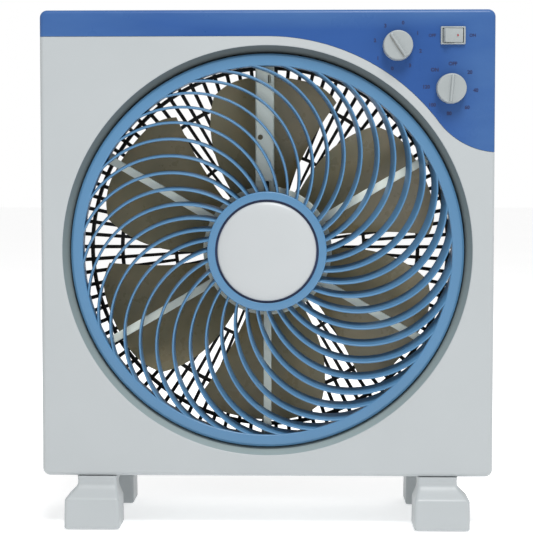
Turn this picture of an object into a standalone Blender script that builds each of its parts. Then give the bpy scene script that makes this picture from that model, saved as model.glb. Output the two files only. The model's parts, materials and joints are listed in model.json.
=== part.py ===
"""Box fan with a turning louver, built as separate parts.

Metres, +Z up. The front faces -Y, the floor is Z = 0, and the origin is under the middle of the case.
Each visible object is one solid part. The hidden wire objects only cut a part or extend it.
Parts on a moving axis hang on an empty that stands on that axis.
"""

from math import acos, asin, atan2, cos, degrees, hypot, pi, radians, sin, tau

import bmesh
import bpy
from mathutils import Matrix

MM = 0.001
GAP = 0.3 * MM  # play between two parts that touch

# Case
CASE_WIDTH = 398 * MM
CASE_HEIGHT = 410 * MM
CASE_DEPTH = 128 * MM
CASE_BASE = 46.5 * MM  # underside of the case above the floor
CORNER_RADIUS = 6.5 * MM
CORNER_STEPS = 3
EDGE_RADIUS = 4 * MM
EDGE_STEPS = 3
WALL = 2.5 * MM
PANEL_WALL = 2.4 * MM
PARTING_Y = 24 * MM  # where the front and the rear shell meet
PANEL_BACK = -42 * MM
BOSS_RADIUS = 5.5 * MM

# Fan axis and the round duct
FAN_Z = CASE_BASE + CASE_HEIGHT - 211 * MM
LIP_RADIUS = 180.5 * MM  # the air opening at the face of the case
THROAT_RADII = (179.4 * MM, 175.4 * MM)  # the steep cone from the lip down to the duct
THROAT_YS = (-61.5 * MM, -53 * MM)
THROAT_STEP = 1 * MM  # depth of the bevel between the cone and the duct
DUCT_RADIUS = 174.9 * MM
DUCT_WALL = 2.4 * MM
DUCT_BACK = -22 * MM
ROUND_STEPS = 48
HUB_STEPS = 24

# Control panel outline
BAND_RADIUS = 188 * MM  # the lower edge runs round the opening at this radius
TAIL_RADIUS = 66 * MM  # and swings back out to the side on this one
TAIL_START = radians(37)
TAIL_ARC = radians(50)
BAND_STEPS = 14
TAIL_STEPS = 5
TIMER_AT = (160.3 * MM, CASE_BASE + CASE_HEIGHT - 69 * MM)
SPEED_AT = (113.9 * MM, CASE_BASE + CASE_HEIGHT - 31.8 * MM)
ROCKER_AT = (161.8 * MM, CASE_BASE + CASE_HEIGHT - 23 * MM)
SHAFT_HOLE = 4.5 * MM
KNOB_RADIUS = 13.15 * MM
KNOB_FACE = -73.4 * MM
KNOB_BAR_FACE = -75.6 * MM
ROCKER_PIVOT_Y = -63.6 * MM
ROCKER_TILT = radians(10)
ROCKER_HALF = (8.9 * MM, 6.0 * MM)
ROCKER_PLAY = 0.4 * MM

# Louver
LOUVER_RADIUS = 173.6 * MM
LOUVER_RING_INNER = 163 * MM
LOUVER_FRONT = -57 * MM
LOUVER_BACK = -43 * MM
LOUVER_HUB_RADIUS = 52.9 * MM
LOUVER_HUB_FRONT = -62.5 * MM
VANES = 36
VANE_THICKNESS = 2.4 * MM
VANE_ARC_RADIUS = 85 * MM
VANE_ARC_CENTRE = 86 * MM  # how far the centre of a vane's arc is from the axis
VANE_ARC_TURN = 71  # degrees from the vane's angle to the centre of its arc
VANE_ENDS = (51.2 * MM, 164.8 * MM)  # radii, inside the hub ring and inside the outer ring
VANE_STEPS = 4
VANE_SLANTS = ((0.2 * MM, 3.1 * MM), (-2.4 * MM, 1.9 * MM))  # (x, z) of every back edge, at hub and ring
VANE_DRAW = 1.5 * MM  # how far every back edge is drawn in towards the axis
VANE_RISE = 3.5 * MM  # how far its front stands out more at the hub than at the ring

# Bracket that carries the louver in front of the impeller
BRACKET_FRONT = -39 * MM
BRACKET_BACK = -34 * MM
BRACKET_DISC_RADIUS = 57.5 * MM
BRACKET_RING_OUTER = 174.3 * MM
BRACKET_RING_INNER = 169.5 * MM
ARM_ANGLES = (30, 90, 150, 210, 270, 330)
WIRED_ARM = 90  # the wide one, with the lead of the louver motor in it
ARM_WIDTH = 7 * MM
WIRED_ARM_WIDTH = 16.6 * MM
WIRED_ARM_SHIFT = -2.4 * MM  # the wide arm stands this far off the middle
COVER_HALF_WIDTH = 7.5 * MM
ARM_HOLE_AT = (-6.4 * MM, 101 * MM)  # through the wide arm and its cover
ARM_HOLE_RADIUS = 2.4 * MM
LUG_ANGLES = (30, 150, 270)
LUG_BACK = -26.5 * MM
BRACKET_SCREW_RADIUS = 166 * MM

# Impeller
BLADES = 6
TIP_RADIUS = 157 * MM
HUB_RADIUS = 54 * MM
HUB_FRONT = -24 * MM
HUB_BACK = 12 * MM
BLADE_THICKNESS = 2.2 * MM
BLADE_MID_Y = -7 * MM
BLADE_DISH = 4 * MM
BLADE_CORNERS = (9 * MM, 10 * MM)  # how far its leading and its trailing corner are rounded off
LEAD_ANGLES = (12.6, 5.7)  # degrees, of its leading edge at the hub and near the tip
TRAIL_ANGLES = (61.9, 51.1)
ANGLE_RADIUS = 140 * MM  # where the second of each pair of angles is measured
CHORD_STEPS = 6
SPAN_STEPS = 4
SHAFT_RADIUS = 4 * MM

# Motor, on the centre of the rear grille
MOTOR_RADIUS = 42 * MM
STATOR_RADIUS = 43.5 * MM
STATOR_SPAN = (14.3 * MM, 36.3 * MM)
MOTOR_FRONT = -8 * MM
MOTOR_BACK = 57.2 * MM
MOTOR_BOLT_RADIUS = 36.8 * MM
MOTOR_STEPS = 16

# Rear grille
GRILLE_SPAN = (57.5 * MM, 61.2 * MM)
GRILLE_RIBS = 45  # inside its first band, and twice as many outside it
RIB_WIDTHS = (2.4 * MM, 3.7 * MM)  # at the hub and at the rim
GRILLE_HUB = 46 * MM
GRILLE_BANDS = (
    (88.2 * MM, 91.4 * MM),
    (139.5 * MM, 143 * MM),
    (168.2 * MM, 171.8 * MM),
    (185.2 * MM, 192.2 * MM),
)
GRILLE_SEAT = (193 * MM, 195 * MM)
REAR_OPENING = 185.6 * MM
GRILLE_SCREW_RADIUS = 188.9 * MM
GRILLE_SCREW_ANGLES = (45, 135, 225, 315)

# Carry grip: a pocket in the top of the rear shell, its rear wall thick enough to pinch
GRIP_HALF_WIDTH = 50 * MM
GRIP_Y = (30 * MM, 56 * MM)
GRIP_FLOOR_Z = 442 * MM
GRIP_WALL = 2 * MM

# Where the cord's gland sits in the rear shell, (x, z)
GLAND_AT = (168 * MM, 82 * MM)

# Feet: each has a front leg, a rear leg and a bridge under the case
FOOT_HALF_DEPTH = 76 * MM
FOOT_BLOCK_X = (129.5 * MM, 178.5 * MM)
FOOT_NECK_X = (133.5 * MM, 168 * MM)
BLOCK_LEVELS = (1 * MM, 28 * MM)
NECK_LEVELS = (37 * MM, CASE_BASE - GAP)
BLOCK_INNER_Y = 38 * MM
NECK_Y = (43 * MM, 63 * MM)
BRIDGE_BOTTOM = 40 * MM
FOOT_SCREW_Y = (-26 * MM, 10 * MM)
PAD_HEIGHT = 2.5 * MM
PAD_HALF = (16 * MM, 12 * MM)

CASE_TOP = CASE_BASE + CASE_HEIGHT
CASE_FRONT = -CASE_DEPTH / 2
CASE_REAR = CASE_DEPTH / 2
FRONT_SKIN_BACK = CASE_FRONT + PANEL_WALL
BOSS_X = CASE_WIDTH / 2 - CORNER_RADIUS
BOSS_Z = (CASE_BASE + CORNER_RADIUS, CASE_TOP - CORNER_RADIUS)
FOOT_SCREW_X = (FOOT_NECK_X[0] + FOOT_NECK_X[1]) / 2


# ---------------------------------------------------------------- scene helpers


def clear_scene():
    for obj in list(bpy.data.objects):
        bpy.data.objects.remove(obj, do_unlink=True)


def linear(red, green, blue):
    """Scene-linear colour from 8-bit sRGB."""

    def channel(value):
        value /= 255
        return value / 12.92 if value <= 0.04045 else ((value + 0.055) / 1.055) ** 2.4

    return channel(red), channel(green), channel(blue), 1.0


def finish(name, colour, roughness, metallic=0.0):
    made = bpy.data.materials.new(name)
    made.use_nodes = True
    shader = made.node_tree.nodes["Principled BSDF"]
    shader.inputs["Base Color"].default_value = linear(*colour)
    shader.inputs["Roughness"].default_value = roughness
    shader.inputs["Metallic"].default_value = metallic
    made.diffuse_color = linear(*colour)
    return made


def axis_empty(name, place):
    empty = bpy.data.objects.new(name, None)
    empty.location = place
    bpy.context.scene.collection.objects.link(empty)
    return empty


def mesh_from(name, shape, material):
    mesh = bpy.data.meshes.new(name)
    bmesh.ops.recalc_face_normals(shape, faces=shape.faces)
    shape.to_mesh(mesh)
    shape.free()
    mesh.materials.append(material)
    mesh.shade_smooth()
    mesh.set_sharp_from_angle(angle=radians(32))
    return mesh


def place(name, mesh, parent, at=(0, 0, 0), turn=(0, 0, 0)):
    obj = bpy.data.objects.new(name, mesh)
    obj.parent = parent
    obj.location = at
    obj.rotation_euler = turn
    bpy.context.scene.collection.objects.link(obj)
    return obj


def part(name, shape, material, parent, at=(0, 0, 0), turn=(0, 0, 0)):
    return place(name, mesh_from(name, shape, material), parent, at, turn)


def boolean(target, shape, operation):
    """Cuts shape from target, joins it on, or keeps only what is inside it."""
    name = f"{target.name}_{operation.lower()}_{len(target.modifiers) + 1}"
    tool = part(name, shape, target.data.materials[0], target.parent, target.location, target.rotation_euler)
    tool.hide_render = True
    tool.display_type = "WIRE"
    modifier = target.modifiers.new(name, "BOOLEAN")
    modifier.operation = operation
    modifier.solver = "EXACT"
    modifier.object = tool


def cut(target, *shapes):
    boolean(target, merged(shapes), "DIFFERENCE")


def join(target, *shapes):
    boolean(target, merged(shapes), "UNION")


# ---------------------------------------------------------------- shapes


def merged(shapes):
    """Several closed shapes, clear of each other, in one bmesh."""
    if len(shapes) == 1:
        return shapes[0]
    whole = bmesh.new()
    for shape in shapes:
        kept = {vert: whole.verts.new(vert.co) for vert in shape.verts}
        for face in shape.faces:
            whole.faces.new([kept[vert] for vert in face.verts])
        shape.free()
    return whole


def turned(profile, steps, centre=(0, 0)):
    """The closed loop of (radius, y) points, turned about an axis along Y through centre, an (x, z)."""
    shape = bmesh.new()
    rings = []
    for radius, y in profile:
        count = steps if radius > 0 else 1
        turns = [tau * step / steps for step in range(count)]
        rings.append(
            [shape.verts.new((centre[0] + radius * cos(t), y, centre[1] + radius * sin(t))) for t in turns]
        )
    for near, far in zip(rings, rings[1:] + rings[:1]):
        if len(near) == len(far) == 1:
            continue
        for step in range(steps):
            after = (step + 1) % steps
            corners = [near[step % len(near)], near[after % len(near)]]
            corners += [far[after % len(far)], far[step % len(far)]]
            shape.faces.new(list(dict.fromkeys(corners)))
    return shape


def rod(radius, y0, y1, steps, centre=(0, 0)):
    return turned([(0, y0), (radius, y0), (radius, y1), (0, y1)], steps, centre)


def washer(inner, outer, y0, y1, steps):
    return turned([(inner, y0), (outer, y0), (outer, y1), (inner, y1)], steps)


def upright_rod(radius, z0, z1, steps, at):
    """A rod along Z through at, an (x, y)."""
    turns = [tau * step / steps for step in range(steps)]
    loop = [(at[0] + radius * cos(t), at[1] + radius * sin(t)) for t in turns]
    return loft([[(x, y, z) for x, y in loop] for z in (z0, z1)])


def loft(loops):
    """Closed solid through loops of equal length, with its first and last loop as end faces."""
    shape = bmesh.new()
    rows = [[shape.verts.new(point) for point in loop] for loop in loops]
    for near, far in zip(rows, rows[1:]):
        for step in range(len(near)):
            after = (step + 1) % len(near)
            shape.faces.new((near[step], near[after], far[after], far[step]))
    shape.faces.new(rows[0])
    shape.faces.new(rows[-1])
    return shape


def box(x, y, z):
    corners = [(x[0], z[0]), (x[1], z[0]), (x[1], z[1]), (x[0], z[1])]
    return loft([[(cx, depth, cz) for cx, cz in corners] for depth in y])


def prism(outline, y0, y1):
    """An outline of (x, z) points, carried along Y."""
    return loft([[(x, y, z) for x, z in outline] for y in (y0, y1)])


def sheet(front, back):
    """Closed sheet between two grids of points of the same size."""
    shape = bmesh.new()
    grids = [[[shape.verts.new(point) for point in row] for row in grid] for grid in (front, back)]
    rows, columns = len(front), len(front[0])
    for grid in grids:
        for r in range(rows - 1):
            for c in range(columns - 1):
                shape.faces.new((grid[r][c], grid[r][c + 1], grid[r + 1][c + 1], grid[r + 1][c]))
    rim = [(0, c) for c in range(columns)] + [(r, columns - 1) for r in range(1, rows)]
    rim += [(rows - 1, c) for c in range(columns - 2, -1, -1)] + [(r, 0) for r in range(rows - 2, 0, -1)]
    near, far = ([grid[r][c] for r, c in rim] for grid in grids)
    for step in range(len(rim)):
        after = (step + 1) % len(rim)
        shape.faces.new((near[step], near[after], far[after], far[step]))
    return shape


def polar(radius, angle):
    """(x, z) at this angle in degrees, anticlockwise from +X as the front is seen."""
    return radius * cos(radians(angle)), radius * sin(radians(angle))


def spoke(angle, width, r0, r1, y0, y1, aside=0):
    """A straight bar along the radius at this angle, or to one side of it."""
    ux, uz = polar(1, angle)
    low, high = aside - width / 2, aside + width / 2
    corners = [(r0, low), (r1, low), (r1, high), (r0, high)]
    return prism([(ux * r - uz * side, uz * r + ux * side) for r, side in corners], y0, y1)


# ---------------------------------------------------------------- case


def case_outline(inset):
    """Rounded front outline of the case, drawn in by inset."""
    radius = max(CORNER_RADIUS - inset, 1.5 * MM)
    reach_x = CASE_WIDTH / 2 - inset - radius
    reach_z = CASE_HEIGHT / 2 - inset - radius
    middle = CASE_BASE + CASE_HEIGHT / 2
    points = []
    for side_x, side_z, start in ((1, 1, 0), (-1, 1, 90), (-1, -1, 180), (1, -1, 270)):
        for step in range(CORNER_STEPS + 1):
            x, z = polar(radius, start + 90 * step / CORNER_STEPS)
            points.append((side_x * reach_x + x, middle + side_z * reach_z + z))
    return points


def half_case(face_y, rim_y, wall):
    """Half of the case, open at rim_y, with a rounded edge round its face at face_y."""
    inward = 1 if rim_y > face_y else -1
    levels = []
    for step in range(EDGE_STEPS + 1):
        angle = radians(90 - 90 * step / EDGE_STEPS)
        levels.append((face_y + inward * EDGE_RADIUS * (1 - sin(angle)), EDGE_RADIUS * (1 - cos(angle))))
    levels += [(rim_y, 0), (rim_y, wall), (face_y + inward * wall, wall)]
    return loft([[(x, y, z) for x, z in case_outline(inset)] for y, inset in levels])


def panel_outline(play):
    """Front outline of the control panel: a band along the top that widens down the right-hand side."""
    beyond = 5 * MM
    side = CASE_WIDTH / 2 + beyond
    radius = BAND_RADIUS - play
    tail_radius = TAIL_RADIUS + play
    points = [(-side, CASE_TOP + beyond), (-side, FAN_Z + radius)]
    for step in range(BAND_STEPS + 1):
        angle = pi / 2 + (TAIL_START - pi / 2) * step / BAND_STEPS
        points.append((radius * cos(angle), FAN_Z + radius * sin(angle)))
    tail_x = (radius + tail_radius) * cos(TAIL_START)
    tail_z = FAN_Z + (radius + tail_radius) * sin(TAIL_START)
    for step in range(1, TAIL_STEPS + 1):
        angle = pi + TAIL_START + TAIL_ARC * step / TAIL_STEPS
        points.append((tail_x + tail_radius * cos(angle), tail_z + tail_radius * sin(angle)))
    points += [(side, points[-1][1]), (side, CASE_TOP + beyond)]
    return points


def opening_cutter():
    """The air opening: a rounded lip, a steep cone behind it, then the round duct."""
    before = CASE_FRONT - 5 * MM
    profile = [
        (0, before),
        (LIP_RADIUS, before),
        (LIP_RADIUS, CASE_FRONT),
        (LIP_RADIUS - 0.8 * MM, CASE_FRONT + 0.8 * MM),
        (THROAT_RADII[0], THROAT_YS[0]),
        (THROAT_RADII[1], THROAT_YS[1]),
        (DUCT_RADIUS, THROAT_YS[1] + THROAT_STEP),
        (DUCT_RADIUS, PARTING_Y),
        (0, PARTING_Y),
    ]
    return turned(profile, ROUND_STEPS, (0, FAN_Z))


def bosses(y0, y1):
    return [rod(BOSS_RADIUS, y0, y1, 10, (side * BOSS_X, z)) for side in (-1, 1) for z in BOSS_Z]


def boss_holes(radius, y0, y1):
    return [rod(radius, y0, y1, 10, (side * BOSS_X, z)) for side in (-1, 1) for z in BOSS_Z]


def foot_screw_places():
    return [(side * FOOT_SCREW_X, y) for side in (-1, 1) for y in FOOT_SCREW_Y]


def shifted(shape, dz):
    bmesh.ops.translate(shape, verts=shape.verts, vec=(0, 0, dz))
    return shape


def front_shell(material, parent):
    shell = part("front_shell", half_case(CASE_FRONT, PARTING_Y, WALL), material, parent)
    lip_front = CASE_FRONT + 1.2 * MM
    lip_outer = LIP_RADIUS + 1.6 * MM
    duct_outer = DUCT_RADIUS + DUCT_WALL
    blank = DUCT_RADIUS - 2 * MM
    duct = [
        (blank, lip_front),
        (lip_outer, lip_front),
        (lip_outer, -52 * MM),
        (duct_outer, -46 * MM),
        (duct_outer, DUCT_BACK),
        (blank, DUCT_BACK),
    ]
    join(shell, turned(duct, ROUND_STEPS, (0, FAN_Z)), *bosses(-55 * MM, PARTING_Y - GAP))
    cut(shell, opening_cutter())
    lugs = [spoke(a, 11 * MM, 161.5 * MM, 176 * MM, BRACKET_BACK + GAP, LUG_BACK) for a in LUG_ANGLES]
    join(shell, *[shifted(lug, FAN_Z) for lug in lugs])
    cut(shell, prism(panel_outline(GAP), CASE_FRONT - 5 * MM, PANEL_BACK + GAP))
    lug_holes = [
        rod(1.9 * MM, -40 * MM, -28 * MM, 8, (x, FAN_Z + z))
        for x, z in (polar(BRACKET_SCREW_RADIUS, a) for a in LUG_ANGLES)
    ]
    lead_hole = upright_rod(3 * MM, FAN_Z + 170 * MM, FAN_Z + 180 * MM, 10, (0, -37.6 * MM))
    foot_holes = [upright_rod(2.2 * MM, 44 * MM, 60 * MM, 8, at) for at in foot_screw_places()]
    cut(shell, lead_hole, *lug_holes, *foot_holes, *boss_holes(2.1 * MM, 5 * MM, 30 * MM))
    return shell


def control_panel(material, parent):
    panel = part("control_panel", half_case(CASE_FRONT, PARTING_Y, PANEL_WALL), material, parent)
    boolean(panel, prism(panel_outline(0), CASE_FRONT - 5 * MM, PANEL_BACK), "INTERSECT")
    holes = [rod(SHAFT_HOLE, -70 * MM, -55 * MM, 16, at) for at in (TIMER_AT, SPEED_AT)]
    x, z = ROCKER_AT
    window = box((x - 10.3 * MM, x + 10.3 * MM), (-70 * MM, -55 * MM), (z - 7.4 * MM, z + 7.4 * MM))
    cut(panel, window, *holes)
    return panel


def rear_shell(material, parent):
    shell = part("rear_shell", half_case(CASE_REAR, PARTING_Y + GAP, WALL), material, parent)
    inner, outer = GRILLE_SEAT
    seat = [(inner, 50 * MM), (outer, 50 * MM), (outer, 62.7 * MM), (inner, 62.7 * MM)]
    pocket = box(
        (-GRIP_HALF_WIDTH - GRIP_WALL, GRIP_HALF_WIDTH + GRIP_WALL),
        (GRIP_Y[0] - GRIP_WALL, GRIP_Y[1] + GRIP_WALL),
        (GRIP_FLOOR_Z - GRIP_WALL, CASE_TOP - 1 * MM),
    )
    join(shell, turned(seat, ROUND_STEPS, (0, FAN_Z)), *bosses(PARTING_Y + 2 * GAP, 62.8 * MM))
    join(shell, pocket)
    grip = box((-GRIP_HALF_WIDTH, GRIP_HALF_WIDTH), GRIP_Y, (GRIP_FLOOR_Z, CASE_TOP + 5 * MM))
    opening = rod(REAR_OPENING, 55 * MM, 70 * MM, ROUND_STEPS, (0, FAN_Z))
    gland = rod(6.8 * MM, 55 * MM, 70 * MM, 12, GLAND_AT)
    cut(shell, grip, opening, gland, *boss_holes(4.2 * MM, 46 * MM, 70 * MM))
    screw_seats = [
        rod(1.9 * MM, 56 * MM, 63.3 * MM, 8, (x, FAN_Z + z))
        for x, z in (polar(GRILLE_SCREW_RADIUS, a) for a in GRILLE_SCREW_ANGLES)
    ]
    cut(shell, *screw_seats, *boss_holes(2.1 * MM, 20 * MM, 47 * MM))
    return shell


def pad_places():
    """(x, y) of each foot pad, in the order left front, left rear, right front, right rear."""
    x = (FOOT_BLOCK_X[0] + FOOT_BLOCK_X[1]) / 2
    y = (BLOCK_INNER_Y + FOOT_HALF_DEPTH) / 2
    return [(side * x, facing * y) for side in (-1, 1) for facing in (-1, 1)]


def foot(name, side, material, parent):
    """A foot under one side of the case: two flared legs joined by a bridge."""

    def level(x_span, y_span, z):
        (x0, x1), (y0, y1) = x_span, y_span
        return [(side * x, y, z) for x, y in ((x0, y0), (x1, y0), (x1, y1), (x0, y1))]

    def leg(facing):
        block_y = sorted((facing * BLOCK_INNER_Y, facing * FOOT_HALF_DEPTH))
        neck_y = sorted((facing * NECK_Y[0], facing * NECK_Y[1]))
        return loft(
            [
                level(FOOT_BLOCK_X, block_y, BLOCK_LEVELS[0]),
                level(FOOT_BLOCK_X, block_y, BLOCK_LEVELS[1]),
                level(FOOT_NECK_X, neck_y, NECK_LEVELS[0]),
                level(FOOT_NECK_X, neck_y, NECK_LEVELS[1]),
            ]
        )

    x_span = sorted((side * (FOOT_NECK_X[0] + 1 * MM), side * (FOOT_NECK_X[1] - 1 * MM)))
    bridge = box(x_span, (-55 * MM, 55 * MM), (BRIDGE_BOTTOM, NECK_LEVELS[1] - 0.4 * MM))
    made = part(name, bridge, material, parent)
    join(made, leg(-1), leg(1))
    cut(made, *[upright_rod(2.2 * MM, 36 * MM, 50 * MM, 8, (side * FOOT_SCREW_X, y)) for y in FOOT_SCREW_Y])
    half_x, half_y = (half + GAP for half in PAD_HALF)
    pockets = [
        box((x - half_x, x + half_x), (y - half_y, y + half_y), (-1 * MM, PAD_HEIGHT + GAP))
        for x, y in pad_places()
        if x * side > 0
    ]
    cut(made, *pockets)
    return made


# ---------------------------------------------------------------- grille and motor


def grille_web():
    """Flat web of radial ribs between a hub plate and round bands, its face at the first Y of its span."""
    shape = bmesh.new()
    near, far = GRILLE_SPAN
    radii = [GRILLE_HUB] + [radius for band in GRILLE_BANDS for radius in band]
    rings = []
    for index, radius in enumerate(radii):
        ribs = GRILLE_RIBS if index < 2 else 2 * GRILLE_RIBS
        share = (radius - radii[0]) / (radii[-1] - radii[0])
        width = RIB_WIDTHS[0] + (RIB_WIDTHS[1] - RIB_WIDTHS[0]) * share
        half = degrees(asin(width / 2 / radius))
        places = [polar(radius, 360 * rib / ribs + edge) for rib in range(ribs) for edge in (-half, half)]
        rings.append([shape.verts.new((x, near, z)) for x, z in places])
    shape.faces.new(rings[0])
    for index, (inner, outer) in enumerate(zip(rings, rings[1:])):
        on_band = index % 2 == 1
        doubled = len(outer) // len(inner)
        for step in range(len(inner)):
            if on_band or step % 2 == 0:
                after = (step + 1) % len(inner)
                start, end = step // 2 * 2 * doubled + step % 2, after // 2 * 2 * doubled + after % 2
                if end <= start:
                    end += len(outer)
                run = [outer[place % len(outer)] for place in range(start, end + 1)]
                shape.faces.new([inner[step], *run, inner[after]])
    made = bmesh.ops.extrude_face_region(shape, geom=shape.faces[:], use_keep_orig=True)
    moved = [item for item in made["geom"] if isinstance(item, bmesh.types.BMVert)]
    bmesh.ops.translate(shape, verts=moved, vec=(0, far - near, 0))
    return shape


def motor_bolt_holes():
    return [rod(2 * MM, -20 * MM, 75 * MM, 8, (side * MOTOR_BOLT_RADIUS, 0)) for side in (-1, 1)]


def rear_grille(material, parent):
    grille = part("rear_grille", grille_web(), material, parent)
    screws = [rod(2 * MM, 50 * MM, 70 * MM, 8, polar(GRILLE_SCREW_RADIUS, a)) for a in GRILLE_SCREW_ANGLES]
    cut(grille, *screws, *motor_bolt_holes())
    return grille


def motor(finishes, parent):
    """Motor with its front bell inside the impeller's hub and its rear bell on the grille."""
    wall, seat, boss = 2 * MM, 9.3 * MM, 12 * MM
    inner = MOTOR_RADIUS - wall
    front = [
        (5 * MM, MOTOR_FRONT),
        (38 * MM, MOTOR_FRONT),
        (MOTOR_RADIUS, MOTOR_FRONT + 4 * MM),
        (MOTOR_RADIUS, STATOR_SPAN[0] - GAP),
        (inner, STATOR_SPAN[0] - GAP),
        (inner, MOTOR_FRONT + 4.8 * MM),
        (37.2 * MM, MOTOR_FRONT + wall),
        (boss, MOTOR_FRONT + wall),
        (boss, 3 * MM),
        (seat, 3 * MM),
        (seat, MOTOR_FRONT + wall),
        (5 * MM, MOTOR_FRONT + wall),
    ]
    rear = [
        (0, MOTOR_BACK),
        (38 * MM, MOTOR_BACK),
        (MOTOR_RADIUS, MOTOR_BACK - 4.2 * MM),
        (MOTOR_RADIUS, STATOR_SPAN[1] + GAP),
        (inner, STATOR_SPAN[1] + GAP),
        (inner, MOTOR_BACK - 4.8 * MM),
        (37.2 * MM, MOTOR_BACK - wall),
        (boss, MOTOR_BACK - wall),
        (boss, 46 * MM),
        (seat, 46 * MM),
        (seat, MOTOR_BACK - wall),
        (0, MOTOR_BACK - wall),
    ]
    for name, profile in (("motor_front_bell", front), ("motor_rear_bell", rear)):
        cut(part(name, turned(profile, MOTOR_STEPS), finishes["motor"], parent), *motor_bolt_holes())
    core = washer(34 * MM, STATOR_RADIUS, *STATOR_SPAN, MOTOR_STEPS)
    cut(part("stator_core", core, finishes["steel"], parent), *motor_bolt_holes())
    winding = washer(24.6 * MM, 33.6 * MM, 8 * MM, 43 * MM, MOTOR_STEPS)
    part("stator_winding", winding, finishes["copper"], parent)
    bush = (SHAFT_RADIUS + 0.4 * MM, seat - GAP)
    part("front_bearing", washer(*bush, MOTOR_FRONT + wall + GAP, 2.7 * MM, 12), finishes["bronze"], parent)
    part("rear_bearing", washer(*bush, 46.3 * MM, MOTOR_BACK - wall - GAP, 12), finishes["bronze"], parent)


# ---------------------------------------------------------------- rotor


def lead_angle(radius):
    """Angle of a blade's leading edge, in degrees anticlockwise from the blade's own start."""
    share = (radius - HUB_RADIUS) / (ANGLE_RADIUS - HUB_RADIUS)
    return LEAD_ANGLES[0] + (LEAD_ANGLES[1] - LEAD_ANGLES[0]) * share


def trail_angle(radius):
    """Angle of its trailing edge."""
    share = (radius - HUB_RADIUS) / (ANGLE_RADIUS - HUB_RADIUS)
    return TRAIL_ANGLES[0] + (TRAIL_ANGLES[1] - TRAIL_ANGLES[0]) * share**2


def blade_end(across):
    """Outer end of the blade at this place across it: round at both corners."""
    ahead = max(0, 1 - across / 0.28)
    behind = max(0, (across - 0.5) / 0.5)
    return TIP_RADIUS - BLADE_CORNERS[0] * ahead**2 - BLADE_CORNERS[1] * behind**5


def blade(angle):
    """A twisted blade. Its leading edge is at the back, and it is dished towards the back."""
    front, back = [], []
    for row in range(SPAN_STEPS + 1):
        near, far = [], []
        for column in range(CHORD_STEPS + 1):
            across = column / CHORD_STEPS
            root = HUB_RADIUS - 1.4 * MM
            radius = root + (blade_end(across) - root) * row / SPAN_STEPS
            turn = lead_angle(radius) + (trail_angle(radius) - lead_angle(radius)) * across
            half_rise = (18.5 - 4.5 * (radius - root) / (TIP_RADIUS - root)) * MM
            y = BLADE_MID_Y + half_rise * (1 - 2 * across) + 4 * BLADE_DISH * across * (1 - across)
            x, z = polar(radius, angle + turn)
            near.append((x, y - BLADE_THICKNESS / 2, z))
            far.append((x, y + BLADE_THICKNESS / 2, z))
        front.append(near)
        back.append(far)
    return sheet(front, back)


def rotor(finishes, parent):
    inner = HUB_RADIUS - 3 * MM
    boss = 9 * MM
    bore = SHAFT_RADIUS + GAP
    web = HUB_FRONT + 3 * MM
    cup = [
        (bore, HUB_FRONT),
        (HUB_RADIUS - 5 * MM, HUB_FRONT),
        (HUB_RADIUS, HUB_FRONT + 5 * MM),
        (HUB_RADIUS, HUB_BACK),
        (inner, HUB_BACK),
        (inner, web + 3 * MM),
        (inner - 3 * MM, web),
        (boss, web),
        (boss, MOTOR_FRONT - 2.5 * MM),
        (bore, MOTOR_FRONT - 2.5 * MM),
    ]
    impeller = part("impeller", turned(cup, HUB_STEPS), finishes["blade"], parent)
    join(impeller, *[blade(360 * index / BLADES) for index in range(BLADES)])
    cut(impeller, box((-12 * MM, 12 * MM), (-14.4 * MM, -5 * MM), (-1.6 * MM, 1.6 * MM)))

    nut_back = HUB_FRONT - GAP
    nut = [
        (bore, nut_back),
        (11 * MM, nut_back),
        (11 * MM, nut_back - 6 * MM),
        (7.5 * MM, nut_back - 9.3 * MM),
        (0, nut_back - 9.3 * MM),
        (0, nut_back - 8 * MM),
        (bore, nut_back - 8 * MM),
    ]
    part("impeller_nut", turned(nut, 16), finishes["black"], parent)

    shaft_shape = rod(SHAFT_RADIUS, nut_back - 7.6 * MM, 54 * MM, 12)
    shaft = part("motor_shaft", shaft_shape, finishes["steel"], parent)
    pin_y = -12.8 * MM
    pin_turn = (0, 0, radians(90))
    pin_hole = rod(1.6 * MM, -6 * MM, 6 * MM, 10)
    bmesh.ops.rotate(pin_hole, verts=pin_hole.verts, matrix=Matrix.Rotation(radians(90), 3, "Z"))
    bmesh.ops.translate(pin_hole, verts=pin_hole.verts, vec=(0, pin_y, 0))
    cut(shaft, pin_hole)
    part("drive_pin", rod(1.25 * MM, -8 * MM, 8 * MM, 10), finishes["steel"], parent, (0, pin_y, 0), pin_turn)
    part(
        "motor_rotor",
        washer(bore, 23.8 * MM, STATOR_SPAN[0] - 1 * MM, STATOR_SPAN[1] + 1 * MM, MOTOR_STEPS),
        finishes["steel"],
        parent,
    )


# ---------------------------------------------------------------- louver and bracket


def arc_turn(out, arc_radius, radius):
    """Turn about the centre of an arc, out from the axis, to where the arc is at this radius."""
    return acos((radius**2 - out**2 - arc_radius**2) / (2 * out * arc_radius))


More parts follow.
